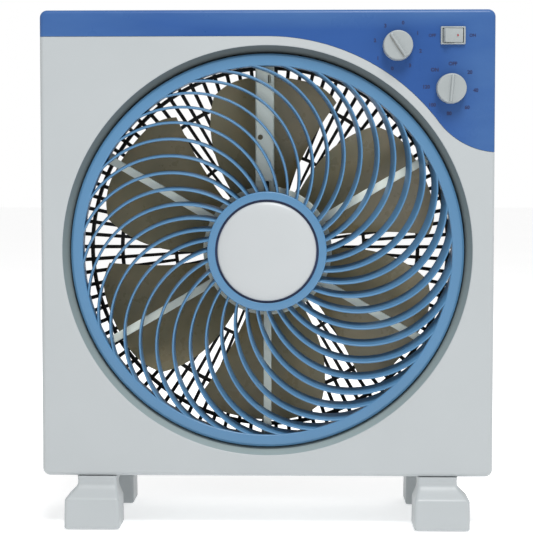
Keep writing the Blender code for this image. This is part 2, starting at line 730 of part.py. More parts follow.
def vane_edge(angle, arc_radius, slanted):
    """(x, z) points along one edge of a vane. Each point of it has the same radius on every edge."""
    first, last = (arc_turn(VANE_ARC_CENTRE, VANE_ARC_RADIUS, end) for end in VANE_ENDS)
    points = []
    for step in range(VANE_STEPS + 1):
        share = step / VANE_STEPS
        centre_x, centre_z = polar(VANE_ARC_CENTRE, angle + VANE_ARC_TURN)
        turn = degrees(first + (last - first) * share)
        along_x, along_z = polar(VANE_ARC_RADIUS, angle + VANE_ARC_TURN - turn)
        middle_x, middle_z = centre_x + along_x, centre_z + along_z
        radius = hypot(middle_x, middle_z)
        slant_x, slant_z = (near + (far - near) * share for near, far in zip(*VANE_SLANTS))
        centre_x += slanted * (slant_x - VANE_DRAW * middle_x / radius)
        centre_z += slanted * (slant_z - VANE_DRAW * middle_z / radius)
        turn = arc_turn(hypot(centre_x, centre_z), arc_radius, radius)
        x, z = polar(arc_radius, degrees(atan2(centre_z, centre_x) - turn))
        points.append((centre_x + x, centre_z + z))
    return points


def vane(angle):
    """One curved vane, from inside the hub ring to inside the outer ring."""
    radii = (VANE_ARC_RADIUS - VANE_THICKNESS / 2, VANE_ARC_RADIUS + VANE_THICKNESS / 2)
    edges = [vane_edge(angle, radius, 0) for radius in radii]
    edges += [vane_edge(angle, radius, 1) for radius in reversed(radii)]
    back_y = LOUVER_BACK - 0.4 * MM
    sections = []
    for step, corners in enumerate(zip(*edges)):
        front_y = LOUVER_FRONT + 0.4 * MM - VANE_RISE * (1 - step / VANE_STEPS) ** 2
        depths = (front_y, front_y, back_y, back_y)
        sections.append([(x, y, z) for (x, z), y in zip(corners, depths)])
    return loft(sections)


def louver(finishes, parent):
    web_front = -57.6 * MM
    web_back = -55.4 * MM
    bore = 3.3 * MM
    hub = [
        (bore, web_front),
        (45.6 * MM, web_front),
        (45.6 * MM, LOUVER_HUB_FRONT),
        (LOUVER_HUB_RADIUS - 1 * MM, LOUVER_HUB_FRONT),
        (LOUVER_HUB_RADIUS, LOUVER_HUB_FRONT + 1 * MM),
        (LOUVER_HUB_RADIUS, LOUVER_BACK),
        (LOUVER_HUB_RADIUS - 3.4 * MM, LOUVER_BACK),
        (LOUVER_HUB_RADIUS - 3.4 * MM, web_back),
        (bore, web_back),
    ]
    made = part("louver", turned(hub, HUB_STEPS), finishes["louver"], parent)
    ring = washer(LOUVER_RING_INNER, LOUVER_RADIUS, LOUVER_FRONT, LOUVER_BACK, ROUND_STEPS)
    join(made, *[vane(360 * index / VANES) for index in range(VANES)])
    join(made, ring)

    cap = [
        (0, -66.5 * MM),
        (16 * MM, -66.1 * MM),
        (30 * MM, -64.8 * MM),
        (40 * MM, -62.6 * MM),
        (43.6 * MM, -60.4 * MM),
        (43.6 * MM, web_front - 0.4 * MM),
        (41.6 * MM, web_front - 0.4 * MM),
        (41.6 * MM, -59.6 * MM),
        (29 * MM, -63 * MM),
        (0, -64.5 * MM),
    ]
    part("louver_cap", turned(cap, HUB_STEPS), finishes["grey"], parent)
    part("louver_nut", washer(bore, 7 * MM, -60.2 * MM, web_front - GAP, 12), finishes["steel"], parent)
    part("louver_motor_shaft", rod(3 * MM, -60.5 * MM, -46.5 * MM, 12), finishes["steel"], parent)


def louver_bracket(finishes, parent):
    disc = rod(BRACKET_DISC_RADIUS, BRACKET_FRONT + 0.2 * MM, BRACKET_FRONT + 2.7 * MM, HUB_STEPS)
    bracket = part("louver_bracket", disc, finishes["grey"], parent)
    ring_radii = (BRACKET_RING_INNER, BRACKET_RING_OUTER)
    ring = washer(*ring_radii, BRACKET_FRONT + 0.2 * MM, BRACKET_BACK - 0.2 * MM, ROUND_STEPS)
    span = (52 * MM, 171 * MM, BRACKET_FRONT, BRACKET_BACK)
    arms = [spoke(angle, ARM_WIDTH, *span) for angle in ARM_ANGLES if angle != WIRED_ARM]
    join(bracket, *arms, spoke(WIRED_ARM, WIRED_ARM_WIDTH, *span, -WIRED_ARM_SHIFT))
    join(bracket, ring)
    channel = spoke(WIRED_ARM, 6 * MM, 25.5 * MM, 180 * MM, BRACKET_FRONT - 2 * MM, BRACKET_FRONT + 3.2 * MM)
    holes = [rod(1.9 * MM, -45 * MM, -30 * MM, 8, polar(BRACKET_SCREW_RADIUS, a)) for a in LUG_ANGLES]
    arm_hole = rod(ARM_HOLE_RADIUS, -45 * MM, -30 * MM, 10, ARM_HOLE_AT)
    cut(bracket, *holes)
    cut(bracket, channel)
    cut(bracket, arm_hole)

    cover_front = BRACKET_FRONT - GAP - 1.6 * MM
    left, right = WIRED_ARM_SHIFT - COVER_HALF_WIDTH, WIRED_ARM_SHIFT + COVER_HALF_WIDTH
    cover = box((left, right), (cover_front, BRACKET_FRONT - GAP), (62 * MM, 165 * MM))
    made = part("wire_duct_cover", cover, finishes["grey"], parent)
    hole = rod(ARM_HOLE_RADIUS, -45 * MM, -36 * MM, 10, ARM_HOLE_AT)
    notch = box((0.5 * MM, right + 1 * MM), (-45 * MM, -36 * MM), (149 * MM, 156 * MM))
    cut(made, hole, notch)

    case = [
        (3.4 * MM, -54.5 * MM),
        (25 * MM, -54.5 * MM),
        (25 * MM, BRACKET_FRONT - 2 * MM),
        (23 * MM, BRACKET_FRONT - GAP),
        (0, BRACKET_FRONT - GAP),
        (0, -46 * MM),
        (3.4 * MM, -46 * MM),
    ]
    part("louver_motor_case", turned(case, 24), finishes["motor"], parent)


# ---------------------------------------------------------------- controls


def knob_shape(bar_width):
    """A round knob with a raised pointer bar across it and a blind bore for its shaft."""
    back = CASE_FRONT - GAP
    profile = [
        (3.3 * MM, back),
        (KNOB_RADIUS, back),
        (KNOB_RADIUS - 0.5 * MM, KNOB_FACE + 1 * MM),
        (KNOB_RADIUS - 1.5 * MM, KNOB_FACE),
        (0, KNOB_FACE),
        (0, -70.4 * MM),
        (3.3 * MM, -70.4 * MM),
    ]
    half = bar_width / 2
    reach = KNOB_RADIUS - 2 * MM
    bar = box((-half, half), (KNOB_BAR_FACE, KNOB_FACE + 1 * MM), (-reach, reach))
    return turned(profile, 24), bar


def rotary_control(name, at, body_radius, body_back, pointer, finishes, parent):
    """A knob and its shaft on a turning axis, and the fixed body behind the panel."""
    axis = axis_empty(f"{name}_axis", (at[0], 0, at[1]))
    round_part, bar = knob_shape(3.4 * MM)
    knob = part(f"{name}_knob", round_part, finishes["ivory"], axis, turn=(0, radians(90 - pointer), 0))
    join(knob, bar)
    part(f"{name}_shaft", rod(3 * MM, -70 * MM, -54 * MM, 12), finishes["steel"], axis)
    body = [
        (3.5 * MM, FRONT_SKIN_BACK + GAP),
        (body_radius, FRONT_SKIN_BACK + GAP),
        (body_radius, body_back),
        (0, body_back),
        (0, -53 * MM),
        (3.5 * MM, -53 * MM),
    ]
    part(f"{name}_body", turned(body, 20), finishes["black"], parent, (at[0], 0, at[1]))


def rocker_switch(finishes, parent):
    x, z = ROCKER_AT
    half_x, half_z = ROCKER_HALF
    bezel_y = (-66.2 * MM, CASE_FRONT - GAP)
    flange = box((x - 10.75 * MM, x + 10.75 * MM), bezel_y, (z - 7.75 * MM, z + 7.75 * MM))
    housing = part("rocker_housing", flange, finishes["ivory"], parent)
    body_y = (bezel_y[0] + 1 * MM, -46 * MM)
    join(housing, box((x - 10 * MM, x + 10 * MM), body_y, (z - 7.1 * MM, z + 7.1 * MM)))
    wide, high = half_x + ROCKER_PLAY, half_z + ROCKER_PLAY
    cut(housing, box((x - wide, x + wide), (-72 * MM, -58 * MM), (z - high, z + high)))

    axis = axis_empty("rocker_axis", (x, ROCKER_PIVOT_Y, z))
    face_y, dip_y = -4.2 * MM, -3.2 * MM
    end = (half_x**2 - face_y**2) ** 0.5
    top = degrees(acos(end / half_x))
    outline = [(-end, face_y), (0, dip_y), (end, face_y)]
    for angle in (-top / 2, 0, 12):
        outline.append((half_x * cos(radians(angle)), half_x * sin(radians(angle))))
    outline += [(-px, py) for px, py in reversed(outline[3:])]
    button = loft([[(px, py, pz) for px, py in outline] for pz in (-half_z, half_z)])
    part("rocker_button", button, finishes["ivory"], axis, turn=(0, 0, ROCKER_TILT))


# ---------------------------------------------------------------- small parts


def screw_mesh(name, head, shank, material):
    """A screw that points along +Y, its origin under the head. head and shank are (radius, length)."""
    profile = [
        (0, -head[1]),
        (head[0] * 0.8, -head[1]),
        (head[0], 0),
        (shank[0], 0),
        (shank[0], shank[1]),
        (0, shank[1]),
    ]
    return mesh_from(name, turned(profile, 6), material)


def screws(finishes, case, fan):
    """Every group of screws: name, mesh, parent, direction and places of their heads."""
    steel = finishes["steel"]
    forward = (0, 0, 0)
    backward = (0, 0, pi)
    upward = (pi / 2, 0, 0)
    case_mesh = screw_mesh("case_screw", (3.8 * MM, 2.2 * MM), (1.8 * MM, 38 * MM), steel)
    case_places = [(side * BOSS_X, 46.3 * MM, z) for side in (-1, 1) for z in BOSS_Z]
    grille_mesh = screw_mesh("grille_screw", (3 * MM, 2 * MM), (1.6 * MM, 5.8 * MM), steel)
    grille_y = GRILLE_SPAN[0] - GAP
    grille_places = [
        (x, grille_y, z) for x, z in (polar(GRILLE_SCREW_RADIUS, a) for a in GRILLE_SCREW_ANGLES)
    ]
    bracket_mesh = screw_mesh("bracket_screw", (3 * MM, 1.8 * MM), (1.6 * MM, 10 * MM), steel)
    bracket_y = BRACKET_FRONT - GAP
    bracket_places = [(x, bracket_y, z) for x, z in (polar(BRACKET_SCREW_RADIUS, a) for a in LUG_ANGLES)]
    bolt_mesh = screw_mesh("motor_bolt", (3.6 * MM, 2.4 * MM), (1.7 * MM, 69 * MM), steel)
    bolt_places = [(side * MOTOR_BOLT_RADIUS, GRILLE_SPAN[1] + GAP, 0) for side in (-1, 1)]
    foot_mesh = screw_mesh("foot_screw", (4 * MM, 2.6 * MM), (1.9 * MM, 15 * MM), steel)
    foot_places = [(x, y, BRIDGE_BOTTOM - GAP) for x, y in foot_screw_places()]
    groups = (
        ("case_screw", case_mesh, case, backward, case_places),
        ("grille_screw", grille_mesh, fan, forward, grille_places),
        ("bracket_screw", bracket_mesh, fan, forward, bracket_places),
        ("motor_bolt", bolt_mesh, fan, backward, bolt_places),
        ("foot_screw", foot_mesh, case, upward, foot_places),
    )
    for name, mesh, parent, turn, places in groups:
        for index, at in enumerate(places):
            place(f"{name}_{index + 1}", mesh, parent, at, turn)


def foot_pads(material, parent):
    half_x, half_y = PAD_HALF
    mesh = mesh_from("foot_pad", box((-half_x, half_x), (-half_y, half_y), (0, PAD_HEIGHT)), material)
    names = ("left_front", "left_rear", "right_front", "right_rear")
    for name, at in zip(names, pad_places()):
        place(f"foot_pad_{name}", mesh, parent, (*at, 0))


def lead(name, route, radius, material, parent):
    """An insulated lead along a smooth curve through its route's points."""
    points = smooth_route(route, 3)
    curve = bpy.data.curves.new(name, "CURVE")
    curve.dimensions = "3D"
    curve.bevel_depth = radius
    curve.bevel_resolution = 1
    curve.use_fill_caps = True
    spline = curve.splines.new("POLY")
    spline.points.add(len(points) - 1)
    for point, at in zip(spline.points, points):
        point.co = (*at, 1)
    curve.materials.append(material)
    return place(name, curve, parent)


def smooth_route(route, steps):
    """Catmull-Rom points through the route."""
    ends = [route[0], *route, route[-1]]
    points = []
    for before, start, end, after in zip(ends, ends[1:], ends[2:], ends[3:]):
        for step in range(steps):
            t = step / steps
            point = []
            for a, b, c, d in zip(before, start, end, after):
                bend = (2 * a - 5 * b + 4 * c - d) * t**2 + (3 * b - a - 3 * c + d) * t**3
                point.append(b + ((c - a) * t + bend) / 2)
            points.append(point)
    points.append(route[-1])
    return points


def wiring(finishes, case):
    """Leads, capacitor, terminal block and the cord's gland."""
    depth = -37.6 * MM
    louver_route = [
        (0, depth, FAN_Z + 27 * MM),
        (0, depth, FAN_Z + 60 * MM),
        (0, depth, FAN_Z + 110 * MM),
        (0, depth, FAN_Z + 160 * MM),
        (0, depth, FAN_Z + 182 * MM),
        (10 * MM, depth, FAN_Z + 192 * MM),
        (40 * MM, depth, FAN_Z + 196 * MM),
        (90 * MM, depth, FAN_Z + 200 * MM),
        (130 * MM, -40 * MM, FAN_Z + 198 * MM),
        (150 * MM, -50 * MM, FAN_Z + 190 * MM),
    ]
    lead("louver_motor_lead", louver_route, 1.2 * MM, finishes["black"], case)
    motor_route = [
        (0, 50 * MM, FAN_Z + 42.6 * MM),
        (0, 53 * MM, FAN_Z + 56 * MM),
        (0, 54 * MM, FAN_Z + 100 * MM),
        (0, 52 * MM, FAN_Z + 150 * MM),
        (0, 40 * MM, FAN_Z + 170 * MM),
        (4 * MM, 24 * MM, FAN_Z + 186 * MM),
        (30 * MM, 16 * MM, FAN_Z + 196 * MM),
        (50 * MM, 12 * MM, FAN_Z + 199 * MM),
    ]
    lead("main_motor_lead", motor_route, 1.8 * MM, finishes["black"], case)
    under_top = CASE_TOP - WALL - GAP
    can = box((-95 * MM, -55 * MM), (-12 * MM, 14 * MM), (under_top - 20 * MM, under_top))
    part("motor_capacitor", can, finishes["black"], case)
    block = box((51.5 * MM, 85 * MM), (-4 * MM, 18 * MM), (under_top - 14 * MM, under_top))
    part("terminal_block", block, finishes["ivory"], case)
    bush = [
        (3.6 * MM, 58 * MM),
        (6.4 * MM, 58 * MM),
        (6.4 * MM, CASE_REAR + GAP),
        (9.5 * MM, CASE_REAR + GAP),
        (9 * MM, CASE_REAR + 3 * MM),
        (5.4 * MM, CASE_REAR + 9 * MM),
        (3.6 * MM, CASE_REAR + 9 * MM),
    ]
    part("cord_gland", turned(bush, 16), finishes["black"], case, (GLAND_AT[0], 0, GLAND_AT[1]))


def main():
    clear_scene()
    finishes = {
        "case": finish("case_plastic", (196, 204, 206), 0.38),
        "panel": finish("panel_blue", (62, 98, 176), 0.22),
        "louver": finish("louver_blue", (96, 141, 186), 0.35),
        "grey": finish("light_grey_plastic", (196, 201, 203), 0.35),
        "ivory": finish("control_white", (214, 214, 208), 0.35),
        "blade": finish("smoky_blade", (84, 80, 64), 0.28),
        "black": finish("black_plastic", (22, 24, 26), 0.45),
        "motor": finish("motor_metal", (120, 124, 126), 0.45, 0.9),
        "steel": finish("steel", (170, 172, 175), 0.3, 1.0),
        "copper": finish("winding_copper", (150, 84, 52), 0.4, 0.8),
        "bronze": finish("bearing_bronze", (150, 112, 66), 0.35, 1.0),
        "rubber": finish("foot_rubber", (40, 40, 42), 0.8),
        "label": finish("plate_silver", (186, 188, 190), 0.35, 0.6),
    }
    case = axis_empty("case", (0, 0, 0))
    fan = axis_empty("fan_centre", (0, 0, FAN_Z))
    rotor_axis = axis_empty("rotor_axis", (0, 0, FAN_Z))
    louver_axis = axis_empty("louver_axis", (0, 0, FAN_Z))

    front_shell(finishes["case"], case)
    control_panel(finishes["panel"], case)
    rear_shell(finishes["case"], case)
    foot("foot_left", -1, finishes["case"], case)
    foot("foot_right", 1, finishes["case"], case)
    foot_pads(finishes["rubber"], case)
    rear_grille(finishes["black"], fan)
    motor(finishes, fan)
    rotor(finishes, rotor_axis)
    louver(finishes, louver_axis)
    louver_bracket(finishes, fan)
    rotary_control("timer", TIMER_AT, 20 * MM, -36 * MM, 85, finishes, case)
    rotary_control("speed", SPEED_AT, 15 * MM, -44 * MM, 124, finishes, case)
    rocker_switch(finishes, case)
    wiring(finishes, case)
    screws(finishes, case, fan)
    plate_y = GRILLE_SPAN[1] + GAP
    plate = box((-24 * MM, 24 * MM), (plate_y, plate_y + 0.6 * MM), (-32 * MM, -8 * MM))
    part("rating_plate", plate, finishes["label"], fan)


main()
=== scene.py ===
"""Box fan with a turning louver: the finished look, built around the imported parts.

Metres, +Z up. The front faces -Y, the floor is Z = 0, and the fan's axis runs along Y at FAN_Z.
Angles on the front are in degrees, anticlockwise from +X as the front is seen.
A turned profile is a closed list of (radius, y, rounding) corners in millimetres.
"""

import json

from math import acos, atan2, cos, degrees, hypot, pi, radians, sin, tan, tau

import bmesh
import bpy
from mathutils import Matrix, Vector


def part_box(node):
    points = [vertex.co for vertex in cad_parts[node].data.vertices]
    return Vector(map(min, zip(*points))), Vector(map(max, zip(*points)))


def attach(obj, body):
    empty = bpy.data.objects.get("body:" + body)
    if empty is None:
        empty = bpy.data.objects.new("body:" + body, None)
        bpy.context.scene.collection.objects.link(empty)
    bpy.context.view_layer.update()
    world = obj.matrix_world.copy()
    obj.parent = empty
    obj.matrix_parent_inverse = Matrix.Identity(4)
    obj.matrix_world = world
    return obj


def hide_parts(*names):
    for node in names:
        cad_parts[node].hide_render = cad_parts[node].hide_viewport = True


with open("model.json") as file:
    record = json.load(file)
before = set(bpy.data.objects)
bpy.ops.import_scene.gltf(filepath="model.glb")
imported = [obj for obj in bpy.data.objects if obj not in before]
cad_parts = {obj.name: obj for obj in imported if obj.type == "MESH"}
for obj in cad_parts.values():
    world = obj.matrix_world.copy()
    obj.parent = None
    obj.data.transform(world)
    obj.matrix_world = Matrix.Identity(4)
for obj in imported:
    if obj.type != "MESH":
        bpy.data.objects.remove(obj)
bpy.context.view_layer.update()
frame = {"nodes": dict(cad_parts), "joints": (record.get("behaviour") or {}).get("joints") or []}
JOINTS = {joint["name"]: joint["pos_m"] for joint in frame["joints"]}


def axis_of(joint):
    """(x, z) of the axis that this joint turns about, as the front is seen."""
    x, _, z = JOINTS[joint]
    return x, z


MM = 0.001
FAN = axis_of("impeller_spin")
FAN_Z = FAN[1]

# Case
case_low, case_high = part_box("rear_shell")
CASE_WIDTH = case_high.x - case_low.x
CASE_BASE = case_low.z
CASE_TOP = case_high.z
CASE_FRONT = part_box("control_panel")[0].y
CASE_REAR = case_high.y
CORNER_RADIUS = 6.5 * MM
EDGE_RADIUS = 4 * MM
WALL = 2.5 * MM
PANEL_WALL = 2.4 * MM
PARTING_Y = 24 * MM
PANEL_BACK = -42 * MM
GAP = 0.3 * MM
ROUND = 192  # steps round the largest circles
BOSS_RADIUS = 5.5 * MM
CASE_SCREW_HOLE = 2.1 * MM
BOSS_X = CASE_WIDTH / 2 - CORNER_RADIUS
BOSS_Z = (CASE_BASE + CORNER_RADIUS, CASE_TOP - CORNER_RADIUS)
BOSSES = [(side * BOSS_X, z) for side in (-1, 1) for z in BOSS_Z]
THROAT_RADII = (172 * MM, 180 * MM)
FOOT_SCREW_X = 150.75 * MM
FOOT_SCREW_Y = (-26 * MM, 10 * MM)
FOOT_SCREW_HOLE = 2.2 * MM
PAD_AT = (154 * MM, 57 * MM)
PAD_HALF = (16 * MM, 12 * MM)

# Control panel
BAND_RADIUS = 188 * MM
TAIL_RADIUS = 66 * MM
TAIL_START = 37
TAIL_TURN = 50
TIMER_AT = axis_of("timer_turn")
SPEED_AT = axis_of("speed_turn")
ROCKER_AT = axis_of("rocker_tilt")
TIMER_POINTER = 85
SPEED_POINTER = 124
MARK_STEP = 45  # degrees between the marks round a dial
TIMER_MARKS = (21.6 * MM, 86)  # radius of the marks and angle of the first one
SPEED_MARKS = (20.3 * MM, 77)
MARK_HEIGHT = 4.3 * MM
WORD_HEIGHT = 3.6 * MM
PRINT_DEPTH = 0.05 * MM
ROCKER_PIVOT_Y = JOINTS["rocker_tilt"][1]
ROCKER_TILT = radians(10)
ROCKER_HALF = (8.9 * MM, 6.0 * MM)
BEZEL_HALF = (10.75 * MM, 7.75 * MM)
BEZEL_BODY_HALF = (10 * MM, 7.1 * MM)

# Louver
LOUVER_FRONT = -57 * MM
LOUVER_BACK = -43 * MM
VANES = 36
VANE_THICKNESS = 2.4 * MM
VANE_ARC_RADIUS = 85 * MM
VANE_ARC_CENTRE = 86 * MM
VANE_ARC_TURN = 71
VANE_ENDS = (51.2 * MM, 164.8 * MM)
VANE_SLANTS = ((0.2 * MM, 3.1 * MM), (-2.4 * MM, 1.9 * MM))
VANE_DRAW = 1.5 * MM
VANE_RISE = 3.5 * MM
VANE_STEPS = 30

# Bracket
BRACKET_FRONT = -39 * MM
BRACKET_BACK = -34 * MM
ARM_ANGLES = (30, 90, 150, 210, 270, 330)
WIRED_ARM = 90
ARM_WIDTH = 7 * MM
WIRED_ARM_WIDTH = 16.6 * MM
WIRED_ARM_SHIFT = -2.4 * MM
ARM_HOLE_AT = (-6.4 * MM, FAN_Z + 101 * MM)
ARM_HOLE_RADIUS = 2.4 * MM
COVER_HALF_WIDTH = 7.5 * MM
LUG_ANGLES = (30, 150, 270)
LUG_RADIUS = 166 * MM
LUG_ENDS = (161.5 * MM, 176 * MM)
LUG_WIDTH = 11 * MM
LUG_BACK = -26.5 * MM
SCREW_HOLE = 1.9 * MM

# Impeller
BLADES = 6
TIP_RADIUS = 157 * MM
HUB_RADIUS = 54 * MM
BLADE_MID_Y = -7 * MM
BLADE_THICKNESS = 2.2 * MM
BLADE_DISH = 4 * MM
BLADE_CORNERS = (9 * MM, 10 * MM)
LEAD_ANGLES = (12.6, 5.7)
TRAIL_ANGLES = (61.9, 51.1)
ANGLE_RADIUS = 140 * MM
SPAN_STEPS = 22
CHORD_STEPS = 28

# Rear grille and motor. The bands' radii are in millimetres.
GRILLE_SPAN = (57.5 * MM, 61.2 * MM)
RIBS = 90
RIB_WIDTHS = (2.4 * MM, 3.7 * MM)
RIB_STARTS = (45 * MM, 89.5 * MM)  # in turn: under the hub plate, under the first band
RIB_END = 186.5 * MM
RIB_BEVEL = 0.5 * MM
GRILLE_BANDS = ((88.2, 91.4), (139.5, 143), (168.2, 171.8), (185.2, 192.2))
GRILLE_HUB = 46 * MM
GRILLE_RIM = GRILLE_BANDS[-1][1] * MM
GRILLE_SCREW_RADIUS = 188.9 * MM
GRILLE_SCREW_ANGLES = (45, 135, 225, 315)
REAR_OPENING = 185.6 * MM
GLAND_AT = (168 * MM, 82 * MM)
MOTOR_BOLTS = [(side * 36.8 * MM, FAN_Z) for side in (-1, 1)]
MOTOR_BOLT_HOLE = 2 * MM

# Camera
CAMERA_DISTANCE = 1.4
CAMERA_AZIMUTH = 1.3
CAMERA_ELEVATION = 2.1
VIEW_HEIGHT = 0.480  # what the picture takes in at the face of the case
CAMERA_TARGET = Vector((-0.0018, 0, 0.2229))


# ---- materials


def linear(red, green, blue):
    """Scene-linear colour from 8-bit sRGB."""

    def channel(value):
        value /= 255
        return value / 12.92 if value <= 0.04045 else ((value + 0.055) / 1.055) ** 2.4

    return channel(red), channel(green), channel(blue), 1.0


def node(tree, kind, values=(), **settings):
    made = tree.nodes.new(kind)
    for key, value in settings.items():
        setattr(made, key, value)
    for socket, value in dict(values).items():
        made.inputs[socket].default_value = value
    return made


def clouds(tree, place, scale, detail=3.0, stretch=(1, 1, 1)):
    """Soft noise about the size of 1 / scale metres."""
    mapping = node(tree, "ShaderNodeMapping", {"Scale": stretch})
    tree.links.new(place, mapping.inputs["Vector"])
    made = node(tree, "ShaderNodeTexNoise", {"Scale": scale, "Detail": detail, "Roughness": 0.55})
    tree.links.new(mapping.outputs["Vector"], made.inputs["Vector"])
    return made.outputs["Fac"]


def spread(tree, value, low, high, start=0.3, end=0.7):
    """The value, mapped from start..end to low..high and held there."""
    values = {"From Min": start, "From Max": end, "To Min": low, "To Max": high}
    made = node(tree, "ShaderNodeMapRange", values)
    tree.links.new(value, made.inputs["Value"])
    return made.outputs["Result"]


def blended(tree, factor, first, second):
    """Colour between two colours or sockets."""
    made = node(tree, "ShaderNodeMix", data_type="RGBA")
    tree.links.new(factor, made.inputs[0])
    for socket, colour in ((made.inputs[6], first), (made.inputs[7], second)):
        if isinstance(colour, bpy.types.NodeSocket):
            tree.links.new(colour, socket)
        else:
            socket.default_value = colour
    return made.outputs[2]


def tinted(colour, share):
    return tuple(min(1.0, channel * share) for channel in colour[:3]) + (1.0,)


def moulded(
    name,
    colour,
    roughness,
    mottle=0.05,
    grain=0.12,
    grain_scale=1300,
    cloud_scale=11,
    stretch=(1, 1, 1),
    metallic=0.0,
    ripple=0.0,
    warm=None,
):
    """A moulded or cast surface: soft tone changes, uneven gloss, a fine grain and a faint ripple."""
    made = bpy.data.materials.new(name)
    made.use_nodes = True
    tree = made.node_tree
    shader = tree.nodes["Principled BSDF"]
    shader.inputs["Metallic"].default_value = metallic
    place = node(tree, "ShaderNodeTexCoord").outputs["Object"]
    base = linear(*colour)
    broad = clouds(tree, place, cloud_scale, 4.0, stretch)
    toned = blended(tree, spread(tree, broad, 0, 1), tinted(base, 1 - mottle), tinted(base, 1 + mottle))
    if warm:
        patches = clouds(tree, place, cloud_scale * 2.7, 5.0, stretch)
        toned = blended(tree, spread(tree, patches, 0, 0.55, 0.42, 0.72), toned, linear(*warm))
    tree.links.new(toned, shader.inputs["Base Color"])
    gloss = clouds(tree, place, cloud_scale * 4.3, 3.0)
    tree.links.new(spread(tree, gloss, roughness - 0.05, roughness + 0.06), shader.inputs["Roughness"])
    fine = clouds(tree, place, grain_scale, 2.0)
    bump = node(tree, "ShaderNodeBump", {"Strength": grain, "Distance": 0.0002})
    tree.links.new(fine, bump.inputs["Height"])
    if ripple:
        wave = clouds(tree, place, 26, 1.0)
        under = node(tree, "ShaderNodeBump", {"Strength": ripple, "Distance": 0.002})
        tree.links.new(wave, under.inputs["Height"])
        tree.links.new(under.outputs["Normal"], bump.inputs["Normal"])
    tree.links.new(bump.outputs["Normal"], shader.inputs["Normal"])
    return made


def layered(name, colour, roughness, across, pitch, metallic=1.0):
    """Metal with fine parallel lines across one axis: laminations, brushing or wound wire."""
    made = moulded(name, colour, roughness, mottle=0.1, grain=0.1, metallic=metallic)
    tree = made.node_tree
    shader = tree.nodes["Principled BSDF"]
    place = node(tree, "ShaderNodeTexCoord").outputs["Object"]
    values = {"Scale": 1 / (pitch * 20) * pi, "Distortion": 0.4, "Detail": 1.0}
    wave = node(tree, "ShaderNodeTexWave", values, bands_direction=across)
    tree.links.new(place, wave.inputs["Vector"])
    bump = node(tree, "ShaderNodeBump", {"Strength": 0.5, "Distance": 0.0003})
    tree.links.new(wave.outputs["Fac"], bump.inputs["Height"])
    tree.links.new(bump.outputs["Normal"], shader.inputs["Normal"])
    return made


def object_axes(tree):
    """X, Y and Z of a point on the object."""
    split = node(tree, "ShaderNodeSeparateXYZ")
    tree.links.new(node(tree, "ShaderNodeTexCoord").outputs["Object"], split.inputs["Vector"])
    return split.outputs


def repainted(tree, share, colour):
    """Lays this share of a colour over the base colour."""
    colours = tree.nodes["Principled BSDF"].inputs["Base Color"]
    plain = colours.links[0].from_socket
    tree.links.new(blended(tree, share, plain, linear(*colour)), colours)


def painted_sheen_patches(material, colour):
    """Painted sheen: paler patches along the top, the left end and the right-hand edge of the panel, standing
    in for its gloss catching the light there.
    """
    tree = material.node_tree
    tree.nodes["Principled BSDF"].inputs["Specular IOR Level"].default_value = 0.18
    axes = object_axes(tree)
    most = spread(tree, axes["Z"], 0, 0.8, CASE_TOP - 18 * MM, CASE_TOP - 4 * MM)
    right = spread(tree, axes["X"], 0, 0.6, CASE_WIDTH / 2 - 50 * MM, CASE_WIDTH / 2 - 15 * MM)
    left = spread(tree, axes["X"], 0, 0.8, -50 * MM, -150 * MM)
    for side in (right, left):
        larger = node(tree, "ShaderNodeMath", operation="MAXIMUM")
        tree.links.new(most, larger.inputs[0])
        tree.links.new(side, larger.inputs[1])
        most = larger.outputs[0]
    place = node(tree, "ShaderNodeTexCoord").outputs["Object"]
    patches = spread(tree, clouds(tree, place, 14, 3.0, (0.5, 1, 2)), 0.35, 1.3)
    share = node(tree, "ShaderNodeMath", operation="MULTIPLY", use_clamp=True)
    tree.links.new(most, share.inputs[0])
    tree.links.new(patches, share.inputs[1])
    repainted(tree, share.outputs[0], colour)


def painted_shade_to_top(material, colour):
    """Painted shade: the plastic of the air opening darkens towards its top, as if shaded from light above,
    and stays lighter at the bottom.
    """
    tree = material.node_tree
    height = object_axes(tree)["Z"]
    repainted(tree, spread(tree, height, 0, 1, FAN_Z - 170 * MM, FAN_Z + 178 * MM), colour)


CASE = moulded("case_white", (165, 170, 172), 0.42, mottle=0.018, grain=0.1, ripple=0.05)
# The panel's strong mottle, stretched along it, is partly uneven tone and partly painted reflection streaks.
PANEL = moulded(
    "panel_blue", (43, 78, 136), 0.3, mottle=0.1, grain=0.03, cloud_scale=9, stretch=(0.6, 1, 2.2), ripple=0.1
)
# Painted sheen: paler plastic along the panel's top, left end and right-hand edge, where its gloss would
# catch the light.
painted_sheen_patches(PANEL, (64, 98, 146))
LOUVER = moulded("louver_blue", (75, 119, 155), 0.36, mottle=0.045, grain=0.08, ripple=0.04)
# Painted shade: a darker copy of the case plastic for the throat of the air opening, which lies in shade.
THROAT_SHADE = moulded("throat_painted_shade", (138, 151, 151), 0.5, mottle=0.03, grain=0.1)
# Painted shade: the throat darkens towards the top of the opening.
painted_shade_to_top(THROAT_SHADE, (80, 87, 88))
GREY = moulded("light_grey", (174, 178, 180), 0.38, mottle=0.02, grain=0.08)
PALE = moulded("pale_grey", (232, 238, 226), 0.5, mottle=0.03, grain=0.08)
IVORY = moulded("control_white", (146, 152, 153), 0.38, mottle=0.03, grain=0.08, cloud_scale=60)
WARM = (160, 143, 110)
SMOKE = moulded(
    "smoky_blade", (140, 132, 104), 0.3, mottle=0.14, grain=0.05, cloud_scale=16, ripple=0.08, warm=WARM
)
BLACK = moulded("black_plastic", (24, 25, 27), 0.5, mottle=0.12, grain=0.12)
METAL = moulded("motor_metal", (132, 136, 138), 0.42, mottle=0.1, grain=0.25, grain_scale=700, metallic=0.9)
STEEL = moulded("steel", (172, 174, 177), 0.28, mottle=0.08, grain=0.06, cloud_scale=120, metallic=1.0)
